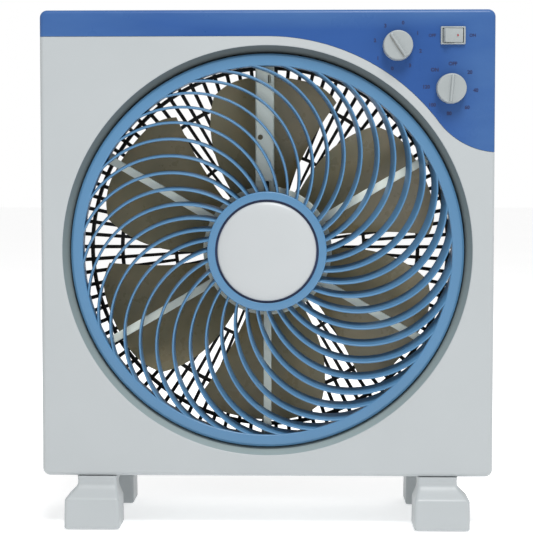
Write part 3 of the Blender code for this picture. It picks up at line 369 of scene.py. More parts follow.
COPPER = layered("winding_copper", (158, 88, 54), 0.36, "Y", 0.9 * MM, 0.85)
LAMINATED = layered("laminated_steel", (140, 143, 146), 0.38, "Y", 0.7 * MM)
BRONZE = moulded("bearing_bronze", (150, 112, 66), 0.36, mottle=0.1, metallic=1.0)
RUBBER = moulded("foot_rubber", (46, 46, 48), 0.78, mottle=0.1, grain=0.3, grain_scale=900)
PLATE = layered("plate_silver", (188, 190, 192), 0.34, "Z", 0.25 * MM, 0.6)
PRINT = moulded("panel_print", (16, 30, 78), 0.5, mottle=0.15, grain=0.05, cloud_scale=200)
# Painted shade: dark navy for the bottom of the groove round the louver's dome, which lies in shade.
GROOVE_SHADE = moulded("groove_painted_shade", (28, 44, 82), 0.5, mottle=0.08, grain=0.05)
# Painted shadow: the colour of the shade beside a knob's fin.
SHADE = moulded("fin_painted_shadow", (122, 119, 110), 0.6, mottle=0.08, grain=0.05, cloud_scale=300)
RED = moulded("dot_red", (150, 40, 48), 0.4, mottle=0.06, grain=0.05, cloud_scale=300)


# ---- shapes


def clean(shape):
    bmesh.ops.recalc_face_normals(shape, faces=shape.faces)
    return shape


def merged(shapes):
    """Several closed shapes in one bmesh."""
    whole = bmesh.new()
    for shape in shapes:
        kept = {vert: whole.verts.new(vert.co) for vert in shape.verts}
        for face in shape.faces:
            whole.faces.new([kept[vert] for vert in face.verts])
        shape.free()
    return whole


def softened(corners, steps=4):
    """A closed outline of (a, b, radius) corners, each one rounded off."""
    points = []
    for index, (a, b, radius) in enumerate(corners):
        here = Vector((a, b))
        before = Vector(corners[index - 1][:2]) - here
        after = Vector(corners[(index + 1) % len(corners)][:2]) - here
        angle = before.angle(after)
        if radius <= 0 or angle > radians(177):
            points.append((a, b))
            continue
        reach = min(radius / tan(angle / 2), 0.49 * min(before.length, after.length))
        middle = (before.normalized() + after.normalized()).normalized()
        centre = here + middle * (reach / cos(angle / 2))
        first = here + before.normalized() * reach - centre
        last = here + after.normalized() * reach - centre
        sweep = first.angle(last)
        for step in range(steps + 1):
            share = step / steps
            arm = (first * sin((1 - share) * sweep) + last * sin(share * sweep)) / sin(sweep)
            points.append(tuple(centre + arm))
    return points


def turned(profile, steps, centre=(0, 0)):
    """The closed loop of (radius, y) points, turned about an axis along Y through centre, an (x, z)."""
    shape = bmesh.new()
    rings = []
    for radius, y in profile:
        count = steps if radius > 1e-9 else 1
        ring = []
        for step in range(count):
            turn = tau * step / steps
            ring.append(shape.verts.new((centre[0] + radius * cos(turn), y, centre[1] + radius * sin(turn))))
        rings.append(ring)
    for near, far in zip(rings, rings[1:] + rings[:1]):
        if len(near) == len(far) == 1:
            continue
        for step in range(steps):
            after = (step + 1) % steps
            corners = [near[step % len(near)], near[after % len(near)]]
            corners += [far[after % len(far)], far[step % len(far)]]
            shape.faces.new(list(dict.fromkeys(corners)))
    return clean(shape)


def lathe(corners, steps, centre=(0, 0), smooth=4):
    """Turned shape from (radius, y, rounding) corners given in millimetres."""
    return turned([(a * MM, b * MM) for a, b in softened(corners, smooth)], steps, centre)


def rod(radius, y0, y1, steps, centre=(0, 0)):
    return turned([(0, y0), (radius, y0), (radius, y1), (0, y1)], steps, centre)


def small_rods(radius, y0, y1, places):
    """Cutters for screw holes at these (x, z) places."""
    return [rod(radius, y0, y1, 16, at) for at in places]


def loft(loops):
    """Closed solid through loops of equal length, with its first and last loop as end faces."""
    shape = bmesh.new()
    rows = [[shape.verts.new(point) for point in loop] for loop in loops]
    for near, far in zip(rows, rows[1:]):
        for step in range(len(near)):
            after = (step + 1) % len(near)
            shape.faces.new((near[step], near[after], far[after], far[step]))
    shape.faces.new(rows[0])
    shape.faces.new(rows[-1])
    return clean(shape)


def prism(outline, y0, y1):
    return loft([[(x, y, z) for x, z in outline] for y in (y0, y1)])


def upright(outline, z0, z1):
    return loft([[(x, y, z) for x, y in outline] for z in (z0, z1)])


def ring_points(radius, steps, centre):
    turns = [tau * step / steps for step in range(steps)]
    return [(centre[0] + radius * cos(t), centre[1] + radius * sin(t)) for t in turns]


def block(x, y, z, rounding=0.0):
    """A box from its spans. All its edges are rounded where a rounding is given."""
    corners = [(x[0], z[0]), (x[1], z[0]), (x[1], z[1]), (x[0], z[1])]
    shape = prism(corners, *y)
    if rounding:
        edges = shape.edges[:]
        bmesh.ops.bevel(shape, geom=edges, offset=rounding, segments=3, profile=0.5, affect="EDGES")
    return clean(shape)


def rectangle(x, z, radius, steps=6):
    """Outline of a rounded rectangle."""
    corners = [(x[0], z[0], radius), (x[1], z[0], radius), (x[1], z[1], radius), (x[0], z[1], radius)]
    return softened(corners, steps)


def polar(radius, angle):
    return radius * cos(radians(angle)), radius * sin(radians(angle))


def round_fan(radius, angles):
    """(x, z) places at these angles on a circle about the fan's axis."""
    return [(x, FAN_Z + z) for x, z in (polar(radius, angle) for angle in angles)]


def span(middle, half):
    """The two ends of a length about its middle."""
    return middle - half, middle + half


def moved(shape, by=(0, 0, 0), matrix=None):
    if matrix is not None:
        bmesh.ops.transform(shape, verts=shape.verts, matrix=matrix)
    bmesh.ops.translate(shape, verts=shape.verts, vec=by)
    return shape


def about_y(angle, at):
    """Turns by angle in degrees about the axis along Y through at, anticlockwise as the front is seen."""
    there = Matrix.Translation((at[0], 0, at[1]))
    return there @ Matrix.Rotation(radians(-angle), 4, "Y") @ there.inverted()


# ---- pieces


def new_object(name, data):
    made = bpy.data.objects.new(name, data)
    bpy.context.scene.collection.objects.link(made)
    return made


def keep_shading(mesh, angle):
    mesh.shade_smooth()
    mesh.set_sharp_from_angle(angle=radians(angle))


def piece(name, shape, material, body, stands_for=(), angle=34):
    """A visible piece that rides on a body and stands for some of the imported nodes."""
    mesh = bpy.data.meshes.new(name)
    shape.to_mesh(mesh)
    shape.free()
    mesh.materials.append(material)
    keep_shading(mesh, angle)
    made = new_object(name, mesh)
    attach(made, body)
    if stands_for:
        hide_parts(*stands_for)
    return made


def boolean(target, shape, operation):
    """Applies one Boolean to target at once."""
    mesh = bpy.data.meshes.new("tool")
    shape.to_mesh(mesh)
    shape.free()
    tool = new_object("tool", mesh)
    modifier = target.modifiers.new(operation, "BOOLEAN")
    modifier.operation = operation
    modifier.solver = "EXACT"
    modifier.object = tool
    apply_modifiers(target)
    bpy.data.objects.remove(tool)
    bpy.data.meshes.remove(mesh)


def apply_modifiers(target):
    graph = bpy.context.evaluated_depsgraph_get()
    graph.update()
    mesh = bpy.data.meshes.new_from_object(target.evaluated_get(graph))
    target.modifiers.clear()
    old = target.data
    name = old.name
    target.data = mesh
    bpy.data.meshes.remove(old)
    mesh.name = name


def cut(target, *shapes):
    boolean(target, merged(shapes), "DIFFERENCE")


def join(target, *shapes):
    boolean(target, merged(shapes), "UNION")


def dress(target, bevel=0.0, angle=34):
    """Rounds the sharp edges a little and keeps flat faces flat in their shading."""
    bm = bmesh.new()
    bm.from_mesh(target.data)
    bmesh.ops.remove_doubles(bm, verts=bm.verts, dist=0.002 * MM)
    flat = radians(0.3)
    bmesh.ops.dissolve_limit(bm, angle_limit=flat, verts=bm.verts, edges=bm.edges, delimit={"NORMAL"})
    bm.to_mesh(target.data)
    bm.free()
    if bevel:
        modifier = target.modifiers.new("bevel", "BEVEL")
        modifier.width = bevel
        modifier.segments = 2
        modifier.limit_method = "ANGLE"
        modifier.angle_limit = radians(50)
        apply_modifiers(target)
    keep_shading(target.data, angle)
    normals = target.modifiers.new("normals", "WEIGHTED_NORMAL")
    normals.keep_sharp = True
    apply_modifiers(target)


# ---- case


def case_outline(inset):
    radius = max(CORNER_RADIUS - inset, 1.5 * MM)
    half = CASE_WIDTH / 2 - inset
    return rectangle((-half, half), (CASE_BASE + inset, CASE_TOP - inset), radius, 9)


def half_case(face_y, rim_y, wall):
    """Half of the case, open at rim_y, with a rounded edge round its face at face_y."""
    inward = 1 if rim_y > face_y else -1
    levels = [(face_y, EDGE_RADIUS + 0.7 * MM)]
    steps = 7
    for step in range(steps + 1):
        angle = radians(90 - 90 * step / steps)
        levels.append((face_y + inward * EDGE_RADIUS * (1 - sin(angle)), EDGE_RADIUS * (1 - cos(angle))))
    levels += [(rim_y, 0), (rim_y, wall), (face_y + inward * wall, wall)]
    return loft([[(x, y, z) for x, z in case_outline(inset)] for y, inset in levels])


def panel_outline(play):
    """Front outline of the control panel: a band along the top that widens down the right-hand side."""
    side = CASE_WIDTH / 2 + 5 * MM
    radius = BAND_RADIUS - play
    tail_radius = TAIL_RADIUS + play
    points = [(-side, CASE_TOP + 5 * MM), (-side, FAN_Z + radius)]
    steps = 48
    for step in range(steps + 1):
        x, z = polar(radius, 90 + (TAIL_START - 90) * step / steps)
        points.append((x, FAN_Z + z))
    tail_x, tail_z = polar(radius + tail_radius, TAIL_START)
    steps = 20
    for step in range(1, steps + 1):
        x, z = polar(tail_radius, 180 + TAIL_START + TAIL_TURN * step / steps)
        points.append((tail_x + x, FAN_Z + tail_z + z))
    points += [(side, points[-1][1]), (side, CASE_TOP + 5 * MM)]
    return points


def at_bosses(radius, y0, y1):
    """A rod at each corner of the case: a screw's boss or its hole."""
    return [rod(radius, y0, y1, 24, at) for at in BOSSES]


def spoke(angle, width, r0, r1, y0, y1, rounding=0.0, aside=0.0):
    """A straight bar along the radius at this angle, or to one side of it."""
    shape = block((r0, r1), (y0, y1), (aside - width / 2, aside + width / 2), rounding)
    moved(shape, matrix=Matrix.Rotation(radians(-angle), 4, "Y"))
    return moved(shape, (0, 0, FAN_Z))


def front_case():
    shape = half_case(CASE_FRONT, PARTING_Y, WALL)
    shell = piece("case_front", shape, CASE, "case", ["front_shell"])
    duct = [(171.9, -62.8, 0), (182, -62.8, 0), (182, -52, 0), (177.3, -46, 0), (177.3, -22, 0.6)]
    duct += [(171.9, -22, 0)]
    lugs = [spoke(a, LUG_WIDTH, *LUG_ENDS, BRACKET_BACK + GAP, LUG_BACK) for a in LUG_ANGLES]
    join(shell, lathe(duct, ROUND, FAN), *at_bosses(BOSS_RADIUS, -55 * MM, PARTING_Y - GAP))
    opening = [(0, -70, 0), (186, -70, 0), (186, -64.8, 0), (180.3, -63.9, 1.0)]
    opening += [(179.2, -61.5, 1.2), (175.4, -53, 0.8), (174.9, -52, 0.3), (174.9, 24, 0)]
    opening += [(0, 24, 0)]
    cut(shell, lathe(opening, ROUND, FAN, 5))
    join(shell, *lugs)
    cut(shell, prism(panel_outline(GAP), CASE_FRONT - 5 * MM, PANEL_BACK + GAP))
    holes = small_rods(SCREW_HOLE, -40 * MM, -28 * MM, round_fan(LUG_RADIUS, LUG_ANGLES))
    feet = [upright(ring_points(FOOT_SCREW_HOLE, 16, at), 44 * MM, 60 * MM) for at in foot_screw_places()]
    lead_hole = upright(ring_points(3 * MM, 20, (0, -37.6 * MM)), FAN_Z + 170 * MM, FAN_Z + 180 * MM)
    cut(shell, lead_hole, *holes, *feet, *at_bosses(CASE_SCREW_HOLE, 5 * MM, 30 * MM))
    dress(shell, 0.35 * MM)
    # Painted shade: faces in the throat of the opening take the darker copy of the case plastic.
    shell.data.materials.append(THROAT_SHADE)
    for face in shell.data.polygons:
        radius = hypot(face.center.x, face.center.z - FAN_Z)
        if THROAT_RADII[0] < radius < THROAT_RADII[1] and -63 * MM < face.center.y < -20 * MM:
            face.material_index = 1


def foot_screw_places(sides=(-1, 1)):
    return [(side * FOOT_SCREW_X, y) for side in sides for y in FOOT_SCREW_Y]


def control_panel():
    shape = half_case(CASE_FRONT, PARTING_Y, PANEL_WALL)
    panel = piece("panel", shape, PANEL, "case", ["control_panel"])
    boolean(panel, prism(panel_outline(0), CASE_FRONT - 5 * MM, PANEL_BACK), "INTERSECT")
    holes = [rod(4.5 * MM, -70 * MM, -55 * MM, 32, at) for at in (TIMER_AT, SPEED_AT)]
    x, z = ROCKER_AT
    half_x, half_z = (half + GAP for half in BEZEL_BODY_HALF)
    window = block(span(x, half_x), (-70 * MM, -55 * MM), span(z, half_z))
    cut(panel, window, *holes)
    dress(panel, 0.35 * MM)


def rear_case():
    shape = half_case(CASE_REAR, PARTING_Y + GAP, WALL)
    shell = piece("case_rear", shape, CASE, "case", ["rear_shell"])
    seat = [(193, 50, 0.4), (195, 50, 0.4), (195, 62.7, 0), (193, 62.7, 0)]
    join(shell, lathe(seat, ROUND, FAN), *at_bosses(BOSS_RADIUS, PARTING_Y + 2 * GAP, 62.8 * MM))
    join(shell, upright(rectangle((-52 * MM, 52 * MM), (28 * MM, 58 * MM), 5 * MM), 440 * MM, 455.5 * MM))
    grip = upright(rectangle((-50 * MM, 50 * MM), (30 * MM, 56 * MM), 4 * MM), 442 * MM, 462 * MM)
    opening = rod(REAR_OPENING, 55 * MM, 70 * MM, ROUND, FAN)
    gland = rod(6.8 * MM, 55 * MM, 70 * MM, 32, GLAND_AT)
    cut(shell, grip, opening, gland, *at_bosses(4.2 * MM, 46 * MM, 70 * MM))
    seats = small_rods(SCREW_HOLE, 56 * MM, 63.3 * MM, round_fan(GRILLE_SCREW_RADIUS, GRILLE_SCREW_ANGLES))
    cut(shell, *seats, *at_bosses(CASE_SCREW_HOLE, 20 * MM, 47 * MM))
    dress(shell, 0.5 * MM)


def foot_leg(side, facing):
    """One flared leg: a rounded block, a slope and a neck."""
    levels = (  # x span, y span, height and corner radius, in millimetres
        (130.6, 177.4, 39.2, 74.9, 1.0, 2.4),
        (129.9, 178.1, 38.4, 75.6, 1.5, 2.9),
        (129.5, 178.5, 38.0, 76.0, 2.5, 3.2),
        (129.6, 178.4, 38.1, 75.9, 14, 3.2),
        (129.9, 178.1, 38.4, 75.6, 26.2, 3.2),
        (130.2, 177.6, 38.7, 75.1, 27.6, 3.2),
        (130.7, 176.4, 39.2, 73.8, 28.9, 3.1),
        (131.6, 173.9, 40.1, 70.6, 31.4, 3.0),
        (132.6, 170.9, 41.3, 66.9, 34.4, 3.0),
        (133.2, 169.1, 42.3, 64.4, 36.8, 3.0),
        (133.5, 168.1, 42.9, 63.1, 39.2, 3.0),
        (133.5, 168.0, 43.0, 63.0, 42.5, 3.0),
        (133.3, 168.3, 42.8, 63.2, 46.2, 3.0),
    )
    loops = []
    for x0, x1, y0, y1, z, radius in levels:
        outline = rectangle((x0, x1), (y0, y1), radius)
        loops.append([(side * x * MM, facing * y * MM, z * MM) for x, y in outline])
    return loft(loops)


def foot(name, side):
    """The two legs under one side of the case and the bridge between them."""
    shape = merged([foot_leg(side, -1), foot_leg(side, 1)])
    made = piece(f"stand_{name}", shape, CASE, "case", [f"foot_{name}"])
    join(made, block(span(side * FOOT_SCREW_X, 16.25 * MM), (-55 * MM, 55 * MM), (40 * MM, 45.8 * MM)))
    holes = [ring_points(FOOT_SCREW_HOLE, 16, at) for at in foot_screw_places([side])]
    cut(made, *[upright(hole, 36 * MM, 50 * MM) for hole in holes])
    pockets = []
    for facing in (-1, 1):
        span_x = span(side * PAD_AT[0], PAD_HALF[0] + GAP)
        span_y = span(facing * PAD_AT[1], PAD_HALF[1] + GAP)
        pockets.append(upright(rectangle(span_x, span_y, 3 * MM), -1 * MM, 2.8 * MM))
    cut(made, *pockets)
    dress(made, 0.0, 40)


def foot_pad(name, side, end, facing):
    loops = []
    for inset, z in ((0.9, 0), (0.2, 0.5), (0, 1.2), (0, 2.5)):
        span_x = span(side * PAD_AT[0], PAD_HALF[0] - inset * MM)
        span_y = span(facing * PAD_AT[1], PAD_HALF[1] - inset * MM)
        loops.append([(x, y, z * MM) for x, y in rectangle(span_x, span_y, 3 * MM)])
    piece(f"pad_{name}_{end}", loft(loops), RUBBER, "case", [f"foot_pad_{name}_{end}"])


def feet():
    for name, side in (("left", -1), ("right", 1)):
        foot(name, side)
        for end, facing in (("front", -1), ("rear", 1)):
            foot_pad(name, side, end, facing)


# ---- controls


def dial(name, at, pointer, body):
    """A round knob with a thin fin across its face."""
    x, z = at
    skirt = [(0, -70.4, 0), (3.3, -70.4, 0), (3.3, -64.3, 0), (13.15, -64.3, 0.3)]
    skirt += [(12.75, -72.6, 0.2), (12.0, -73.4, 0.8), (0, -73.1, 0)]
    made = piece(f"{name}_dial", lathe(skirt, 72, at), IVORY, body, [f"{name}_knob"])
    section = [(-1.9, -73.0), (-1.5, -73.5), (-1.05, -74.6), (-0.85, -75.3), (-0.45, -75.58)]
    section += [(-px, py) for px, py in reversed(section)]
    section += [(1.9, -72.4), (-1.9, -72.4)]
    end = [(12.0, 2.3), (11.7, 0.9), (11.2, 0.25), (10, 0)]  # along the fin, and how far it has dropped
    loops = []
    for reach, drop in [(-far, low) for far, low in end] + [(0, 0)] + end[::-1]:
        loop = []
        for px, py in section:
            loop.append((x + px * MM, min(py + drop, max(py, -72.9)) * MM, z + reach * MM))
        loops.append(loop)
    fin = loft(loops)
    moved(fin, matrix=about_y(pointer - 90, at))
    join(made, fin)
    dress(made, 0.0, 38)


def painted_fin_shadow(name, at, pointer, body):
    """Painted shadow: a dark line along one side of a knob's fin, where the fin shades the knob's face."""
    x, z = at
    line = block((x - 1.85 * MM, x - 1.05 * MM), (-73.62 * MM, -73.2 * MM), span(z, 11.2 * MM))
    piece(f"{name}_line", moved(line, matrix=about_y(pointer - 90, at)), SHADE, body)


def rocker():
    x, z = ROCKER_AT
    chamfer = 0.5 * MM
    outer = rectangle(span(x, BEZEL_HALF[0]), span(z, BEZEL_HALF[1]), 0.9 * MM)
    inner = rectangle(span(x, BEZEL_HALF[0] - chamfer), span(z, BEZEL_HALF[1] - chamfer), 0.6 * MM)
    levels = ((outer, -64.3), (outer, -65.6), (inner, -66.2))
    shape = loft([[(px, y * MM, pz) for px, pz in outline] for outline, y in levels])
    bezel = piece("rocker_frame", shape, IVORY, "case", ["rocker_housing"])
    join(bezel, block(span(x, BEZEL_BODY_HALF[0]), (-65 * MM, -46 * MM), span(z, BEZEL_BODY_HALF[1])))
    half_x, half_z = ROCKER_HALF
    play = 0.4 * MM
    cut(bezel, block(span(x, half_x + play), (-72 * MM, -58 * MM), span(z, half_z + play)))
    dress(bezel, 0.18 * MM)
    face_y, dip_y = -4.2 * MM, -3.2 * MM
    end = (half_x**2 - face_y**2) ** 0.5
    top = degrees(acos(end / half_x))
    outline = []
    for step in range(13):
        share = step / 6 - 1
        outline.append((end * share, face_y + (dip_y - face_y) * (1 - abs(share) ** 1.7)))
    for angle in (-top * 0.66, -top * 0.33, 0, 6, 12):
        outline.append((half_x * cos(radians(angle)), half_x * sin(radians(angle))))
    outline += [(-px, py) for px, py in reversed(outline[13:])]
    loops = []
    for pz, shrink in ((-half_z, 0.965), (-half_z + 0.4 * MM, 1), (half_z - 0.4 * MM, 1), (half_z, 0.965)):
        loops.append([(px * shrink, py * shrink, pz) for px, py in outline])
    place = Matrix.Translation((x, ROCKER_PIVOT_Y, z)) @ Matrix.Rotation(ROCKER_TILT, 4, "Z")
    button = moved(loft(loops), matrix=place)
    piece("rocker_key", button, IVORY, "rocker", ["rocker_button"], 50)
    dot = rod(0.75 * MM, -4.0 * MM, -3.72 * MM, 20, (3.4 * MM, 0))
    piece("rocker_dot", moved(dot, matrix=place), RED, "rocker")


def label(text, at, size):
    """Flat lettering on the panel's face, as a mesh."""
    curve = bpy.data.curves.new("label", "FONT")
    curve.body = text
    curve.size = size
    curve.align_x = "CENTER"
    curve.align_y = "CENTER"
    curve.resolution_u = 3
    curve.offset = 0.045 * size
    made = new_object("label", curve)
    bpy.context.view_layer.update()
    mesh = bpy.data.meshes.new_from_object(made.evaluated_get(bpy.context.evaluated_depsgraph_get()))
    shape = bmesh.new()
    shape.from_mesh(mesh)
    bpy.data.objects.remove(made)
    bpy.data.curves.remove(curve)
    bpy.data.meshes.remove(mesh)
    front = Matrix.Translation((at[0], CASE_FRONT - PRINT_DEPTH, at[1]))
    return moved(shape, matrix=front @ Matrix.Rotation(pi / 2, 4, "X"))


def panel_print():
    """Numbers round the dials, and which way is on."""
    shapes = []
    minutes = ("OFF", "20", "40", "60", "80", "100", "120", "ON")
    speeds = ("0", "1", "2", "3") * 2
    for at, (radius, first), marks in ((TIMER_AT, TIMER_MARKS, minutes), (SPEED_AT, SPEED_MARKS, speeds)):
        for index, mark in enumerate(marks):
            x, z = polar(radius, first - MARK_STEP * index)
            shapes.append(label(mark, (at[0] + x, at[1] + z), MARK_HEIGHT))
    x, z = ROCKER_AT
    shapes.append(label("OFF", (x - 18 * MM, z), WORD_HEIGHT))
    shapes.append(label("ON", (x + 17 * MM, z), WORD_HEIGHT))
    piece("panel_print", merged(shapes), PRINT, "case")


# ---- louver and bracket


def arc_turn(out, arc_radius, radius):
    """Turn about the centre of an arc, out from the axis, to where the arc is at this radius."""
    return acos((radius**2 - out**2 - arc_radius**2) / (2 * out * arc_radius))


def vane_edge(angle, arc_radius, slanted):
    """(x, z) points along one line of a vane. Each point of it has the same radius on every line."""
    first, last = (arc_turn(VANE_ARC_CENTRE, VANE_ARC_RADIUS, end) for end in VANE_ENDS)
    points = []
    for step in range(VANE_STEPS + 1):
        share = step / VANE_STEPS
        centre_x, centre_z = polar(VANE_ARC_CENTRE, angle + VANE_ARC_TURN)
        turn = degrees(first + (last - first) * share)
        along_x, along_z = polar(VANE_ARC_RADIUS, angle + VANE_ARC_TURN - turn)
        middle_x, middle_z = centre_x + along_x, centre_z + along_z
        radius = hypot(middle_x, middle_z)
        slant_x, slant_z = (near + (far - near) * share for near, far in zip(*VANE_SLANTS))
        centre_x += slanted * (slant_x - VANE_DRAW * middle_x / radius)
        centre_z += slanted * (slant_z - VANE_DRAW * middle_z / radius)
        turn = arc_turn(hypot(centre_x, centre_z), arc_radius, radius)
        x, z = polar(arc_radius, degrees(atan2(centre_z, centre_x) - turn))
        points.append((centre_x + x, centre_z + z))
    return points


def vane(angle):
    """One curved vane, slanted like every other, with a narrow rounded front edge."""
    half = VANE_THICKNESS / 2
    side = (  # off the middle, behind its end of the vane, and share of the way to the back
        (0.3 * half, 0.0, 0),
        (0.52 * half, 0.2 * MM, 0.01),
        (0.66 * half, 0.8 * MM, 0.05),
        (half, 3.4 * MM, 0.24),
        (half, -0.4 * MM, 0.97),
        (0.6 * half, 0.0, 1),
    )
    section = side + tuple((-px, py, share) for px, py, share in reversed(side))
    lines = [vane_edge(angle, VANE_ARC_RADIUS + px, share) for px, _, share in section]
    loops = []
    for step in range(VANE_STEPS + 1):
        front_y = LOUVER_FRONT + 0.4 * MM - VANE_RISE * (1 - step / VANE_STEPS) ** 2
        back_y = LOUVER_BACK - 0.4 * MM
        loop = []
        for line, (_, y, share) in zip(lines, section):
            x, z = line[step]
            loop.append((x, (front_y if share < 0.5 else back_y) + y, FAN_Z + z))
        loops.append(loop)
    return loft(loops)


def louver():
    hub = [(3.3, -57.6, 0), (45.6, -57.6, 0.2), (45.6, -62.5, 0.5), (52.6, -62.5, 1.1)]
    hub += [(52.9, -43, 0.4), (49.5, -43, 0.4), (49.5, -55.4, 0.6), (3.3, -55.4, 0)]
    ring = [(163, -56.2, 0.3), (163.8, -57, 0.7), (171.6, -57, 1.2), (173.6, -55.4, 0.9)]
    ring += [(173.6, -43, 0.3), (172, -43, 0.3), (172, -54.6, 0.5), (164.6, -54.8, 0.5)]
    ring += [(164.6, -43, 0.3), (163, -43, 0.3)]
    shapes = [lathe(hub, 144, FAN), lathe(ring, 288, FAN)]
    shapes += [vane(360 * index / VANES) for index in range(VANES)]
    piece("louver_wheel", merged(shapes), LOUVER, "louver", ["louver"], 40)
    # Painted shade: a dark ring at the bottom of the groove between the dome and the hub ring.
    groove = [(43.65, -57.62, 0), (45.58, -57.62, 0), (45.58, -59.4, 0), (43.65, -59.4, 0)]
    piece("louver_groove", lathe(groove, 144, FAN), GROOVE_SHADE, "louver")
    dome = [(0, -66.5), (8, -66.42), (16, -66.15), (24, -65.68), (31, -65.02), (37, -64.12), (41, -63.1)]
    dome += [(42.6, -62.35), (43.3, -61.6), (43.6, -60.6), (43.6, -58.0), (41.6, -58.0), (41.6, -60.2)]
    dome += [(36, -62.2), (24, -63.8), (0, -64.6)]
    shape = turned([(r * MM, y * MM) for r, y in dome], 144, FAN)
    piece("louver_dome", shape, GREY, "louver", ["louver_cap"])


def bracket():
    disc = [(0, -38.8, 0), (57.5, -38.8, 0.8), (57.5, -36.3, 0.4), (0, -36.3, 0)]
    made = piece("bracket", lathe(disc, 96, FAN), PALE, "case", ["louver_bracket"])
    arms = []
    for angle in ARM_ANGLES:
        wired = angle == WIRED_ARM
        width, aside = (WIRED_ARM_WIDTH, -WIRED_ARM_SHIFT) if wired else (ARM_WIDTH, 0)
        arms.append(spoke(angle, width, 52 * MM, 171 * MM, BRACKET_FRONT, BRACKET_BACK, 0.6 * MM, aside))
    ring = [(169.5, -38.8, 0.4), (174.3, -38.8, 0.4), (174.3, -34.2, 0.4), (169.5, -34.2, 0.4)]
    join(made, *arms)
    join(made, lathe(ring, ROUND, FAN))
    cut(made, *small_rods(SCREW_HOLE, -45 * MM, -30 * MM, round_fan(LUG_RADIUS, LUG_ANGLES)))
    cut(made, spoke(WIRED_ARM, 6 * MM, 25.5 * MM, 180 * MM, BRACKET_FRONT - 2 * MM, BRACKET_FRONT + 3.2 * MM))
    cut(made, rod(ARM_HOLE_RADIUS, -45 * MM, -30 * MM, 24, ARM_HOLE_AT))
    dress(made)
    front = BRACKET_FRONT - GAP - 1.6 * MM
    left, right = span(WIRED_ARM_SHIFT, COVER_HALF_WIDTH)
    plate = block((left, right), (front, BRACKET_FRONT - GAP), (FAN_Z + 62 * MM, FAN_Z + 165 * MM), 0.5 * MM)
    cover = piece("duct_cover", plate, PALE, "case", ["wire_duct_cover"])
    notch = block((0.5 * MM, right + 1 * MM), (-45 * MM, -36 * MM), (FAN_Z + 149 * MM, FAN_Z + 156 * MM))
    cut(cover, notch, rod(ARM_HOLE_RADIUS, -45 * MM, -36 * MM, 24, ARM_HOLE_AT))
    dress(cover)


# ---- impeller


def edge_angle(radius, angles, power):
    """Angle of an edge of the blade at this radius, from those at the hub and at ANGLE_RADIUS."""
    share = (radius - HUB_RADIUS) / (ANGLE_RADIUS - HUB_RADIUS)
    return angles[0] + (angles[1] - angles[0]) * share**power


def blade_end(across):
    """Outer end of the blade at this place across it: round at both corners."""
    ahead = max(0, 1 - across / 0.28)
    behind = max(0, (across - 0.5) / 0.5)
    return TIP_RADIUS - BLADE_CORNERS[0] * ahead**2 - BLADE_CORNERS[1] * behind**5


def blade_point(angle, face, row, column):
    """A point on the front (face = -1) or the back (face = 1) of the blade that starts at this angle."""
    across = column / CHORD_STEPS
    root = HUB_RADIUS - 1.4 * MM
    radius = root + (blade_end(across) - root) * row / SPAN_STEPS
    lead, trail = edge_angle(radius, LEAD_ANGLES, 1), edge_angle(radius, TRAIL_ANGLES, 2)
    turn = lead + (trail - lead) * across
    half_rise = (18.5 - 4.5 * (radius - root) / (TIP_RADIUS - root)) * MM
    y = BLADE_MID_Y + half_rise * (1 - 2 * across) + 4 * BLADE_DISH * across * (1 - across)
    steps_in = min(min(across, 1 - across) * CHORD_STEPS, SPAN_STEPS - row)
    thin = min(1, 0.28 + 0.3 * steps_in)
    x, z = polar(radius, angle + turn)
    return x, y + face * thin * BLADE_THICKNESS / 2, FAN_Z + z


def blade(angle):
    """A twisted blade, dished towards the back, thinner at its edges."""
    shape = bmesh.new()
    rows, columns = range(SPAN_STEPS + 1), range(CHORD_STEPS + 1)
    grids = []
    for face in (-1, 1):
        grids.append([[shape.verts.new(blade_point(angle, face, r, c)) for c in columns] for r in rows])
    for grid in grids:
        for r in rows[:-1]:
            for c in columns[:-1]:
                shape.faces.new((grid[r][c], grid[r][c + 1], grid[r + 1][c + 1], grid[r + 1][c]))
    rim = [(0, c) for c in columns] + [(r, CHORD_STEPS) for r in rows[1:]]
    rim += [(SPAN_STEPS, c) for c in columns[-2::-1]] + [(r, 0) for r in rows[-2:0:-1]]
    near, far = grids
    for a, b in zip(rim, rim[1:] + rim[:1]):
        shape.faces.new((near[a[0]][a[1]], near[b[0]][b[1]], far[b[0]][b[1]], far[a[0]][a[1]]))
    return clean(shape)


def impeller():
    cup = [(4.3, -24, 0), (54, -24, 5), (54, 12, 0.6), (51, 12, 0.6), (51, -21, 3), (9, -21, 0.5)]
    cup += [(9, -10.5, 0.3), (4.3, -10.5, 0)]
    shapes = [lathe(cup, 120, FAN, 6)] + [blade(360 * index / BLADES) for index in range(BLADES)]
    piece("fan_wheel", merged(shapes), SMOKE, "rotor", ["impeller"], 50)
    nut = [(0, -32.3, 0), (4.3, -32.3, 0), (4.3, -24.3, 0), (11, -24.3, 0.3), (11, -30.3, 0.8)]
    nut += [(7.5, -33.6, 1.5), (0, -33.6, 0)]
    made = piece("hub_nut", lathe(nut, 48, FAN), BLACK, "rotor", ["impeller_nut"])
    flutes = []
    for angle in range(0, 360, 30):
        flute = rod(1.5 * MM, -36 * MM, -25.5 * MM, 12, (11.9 * MM, FAN_Z))
        flutes.append(moved(flute, matrix=about_y(angle, FAN)))
    cut(made, *flutes)
    dress(made, 0.0, 40)


# ---- grille and motor


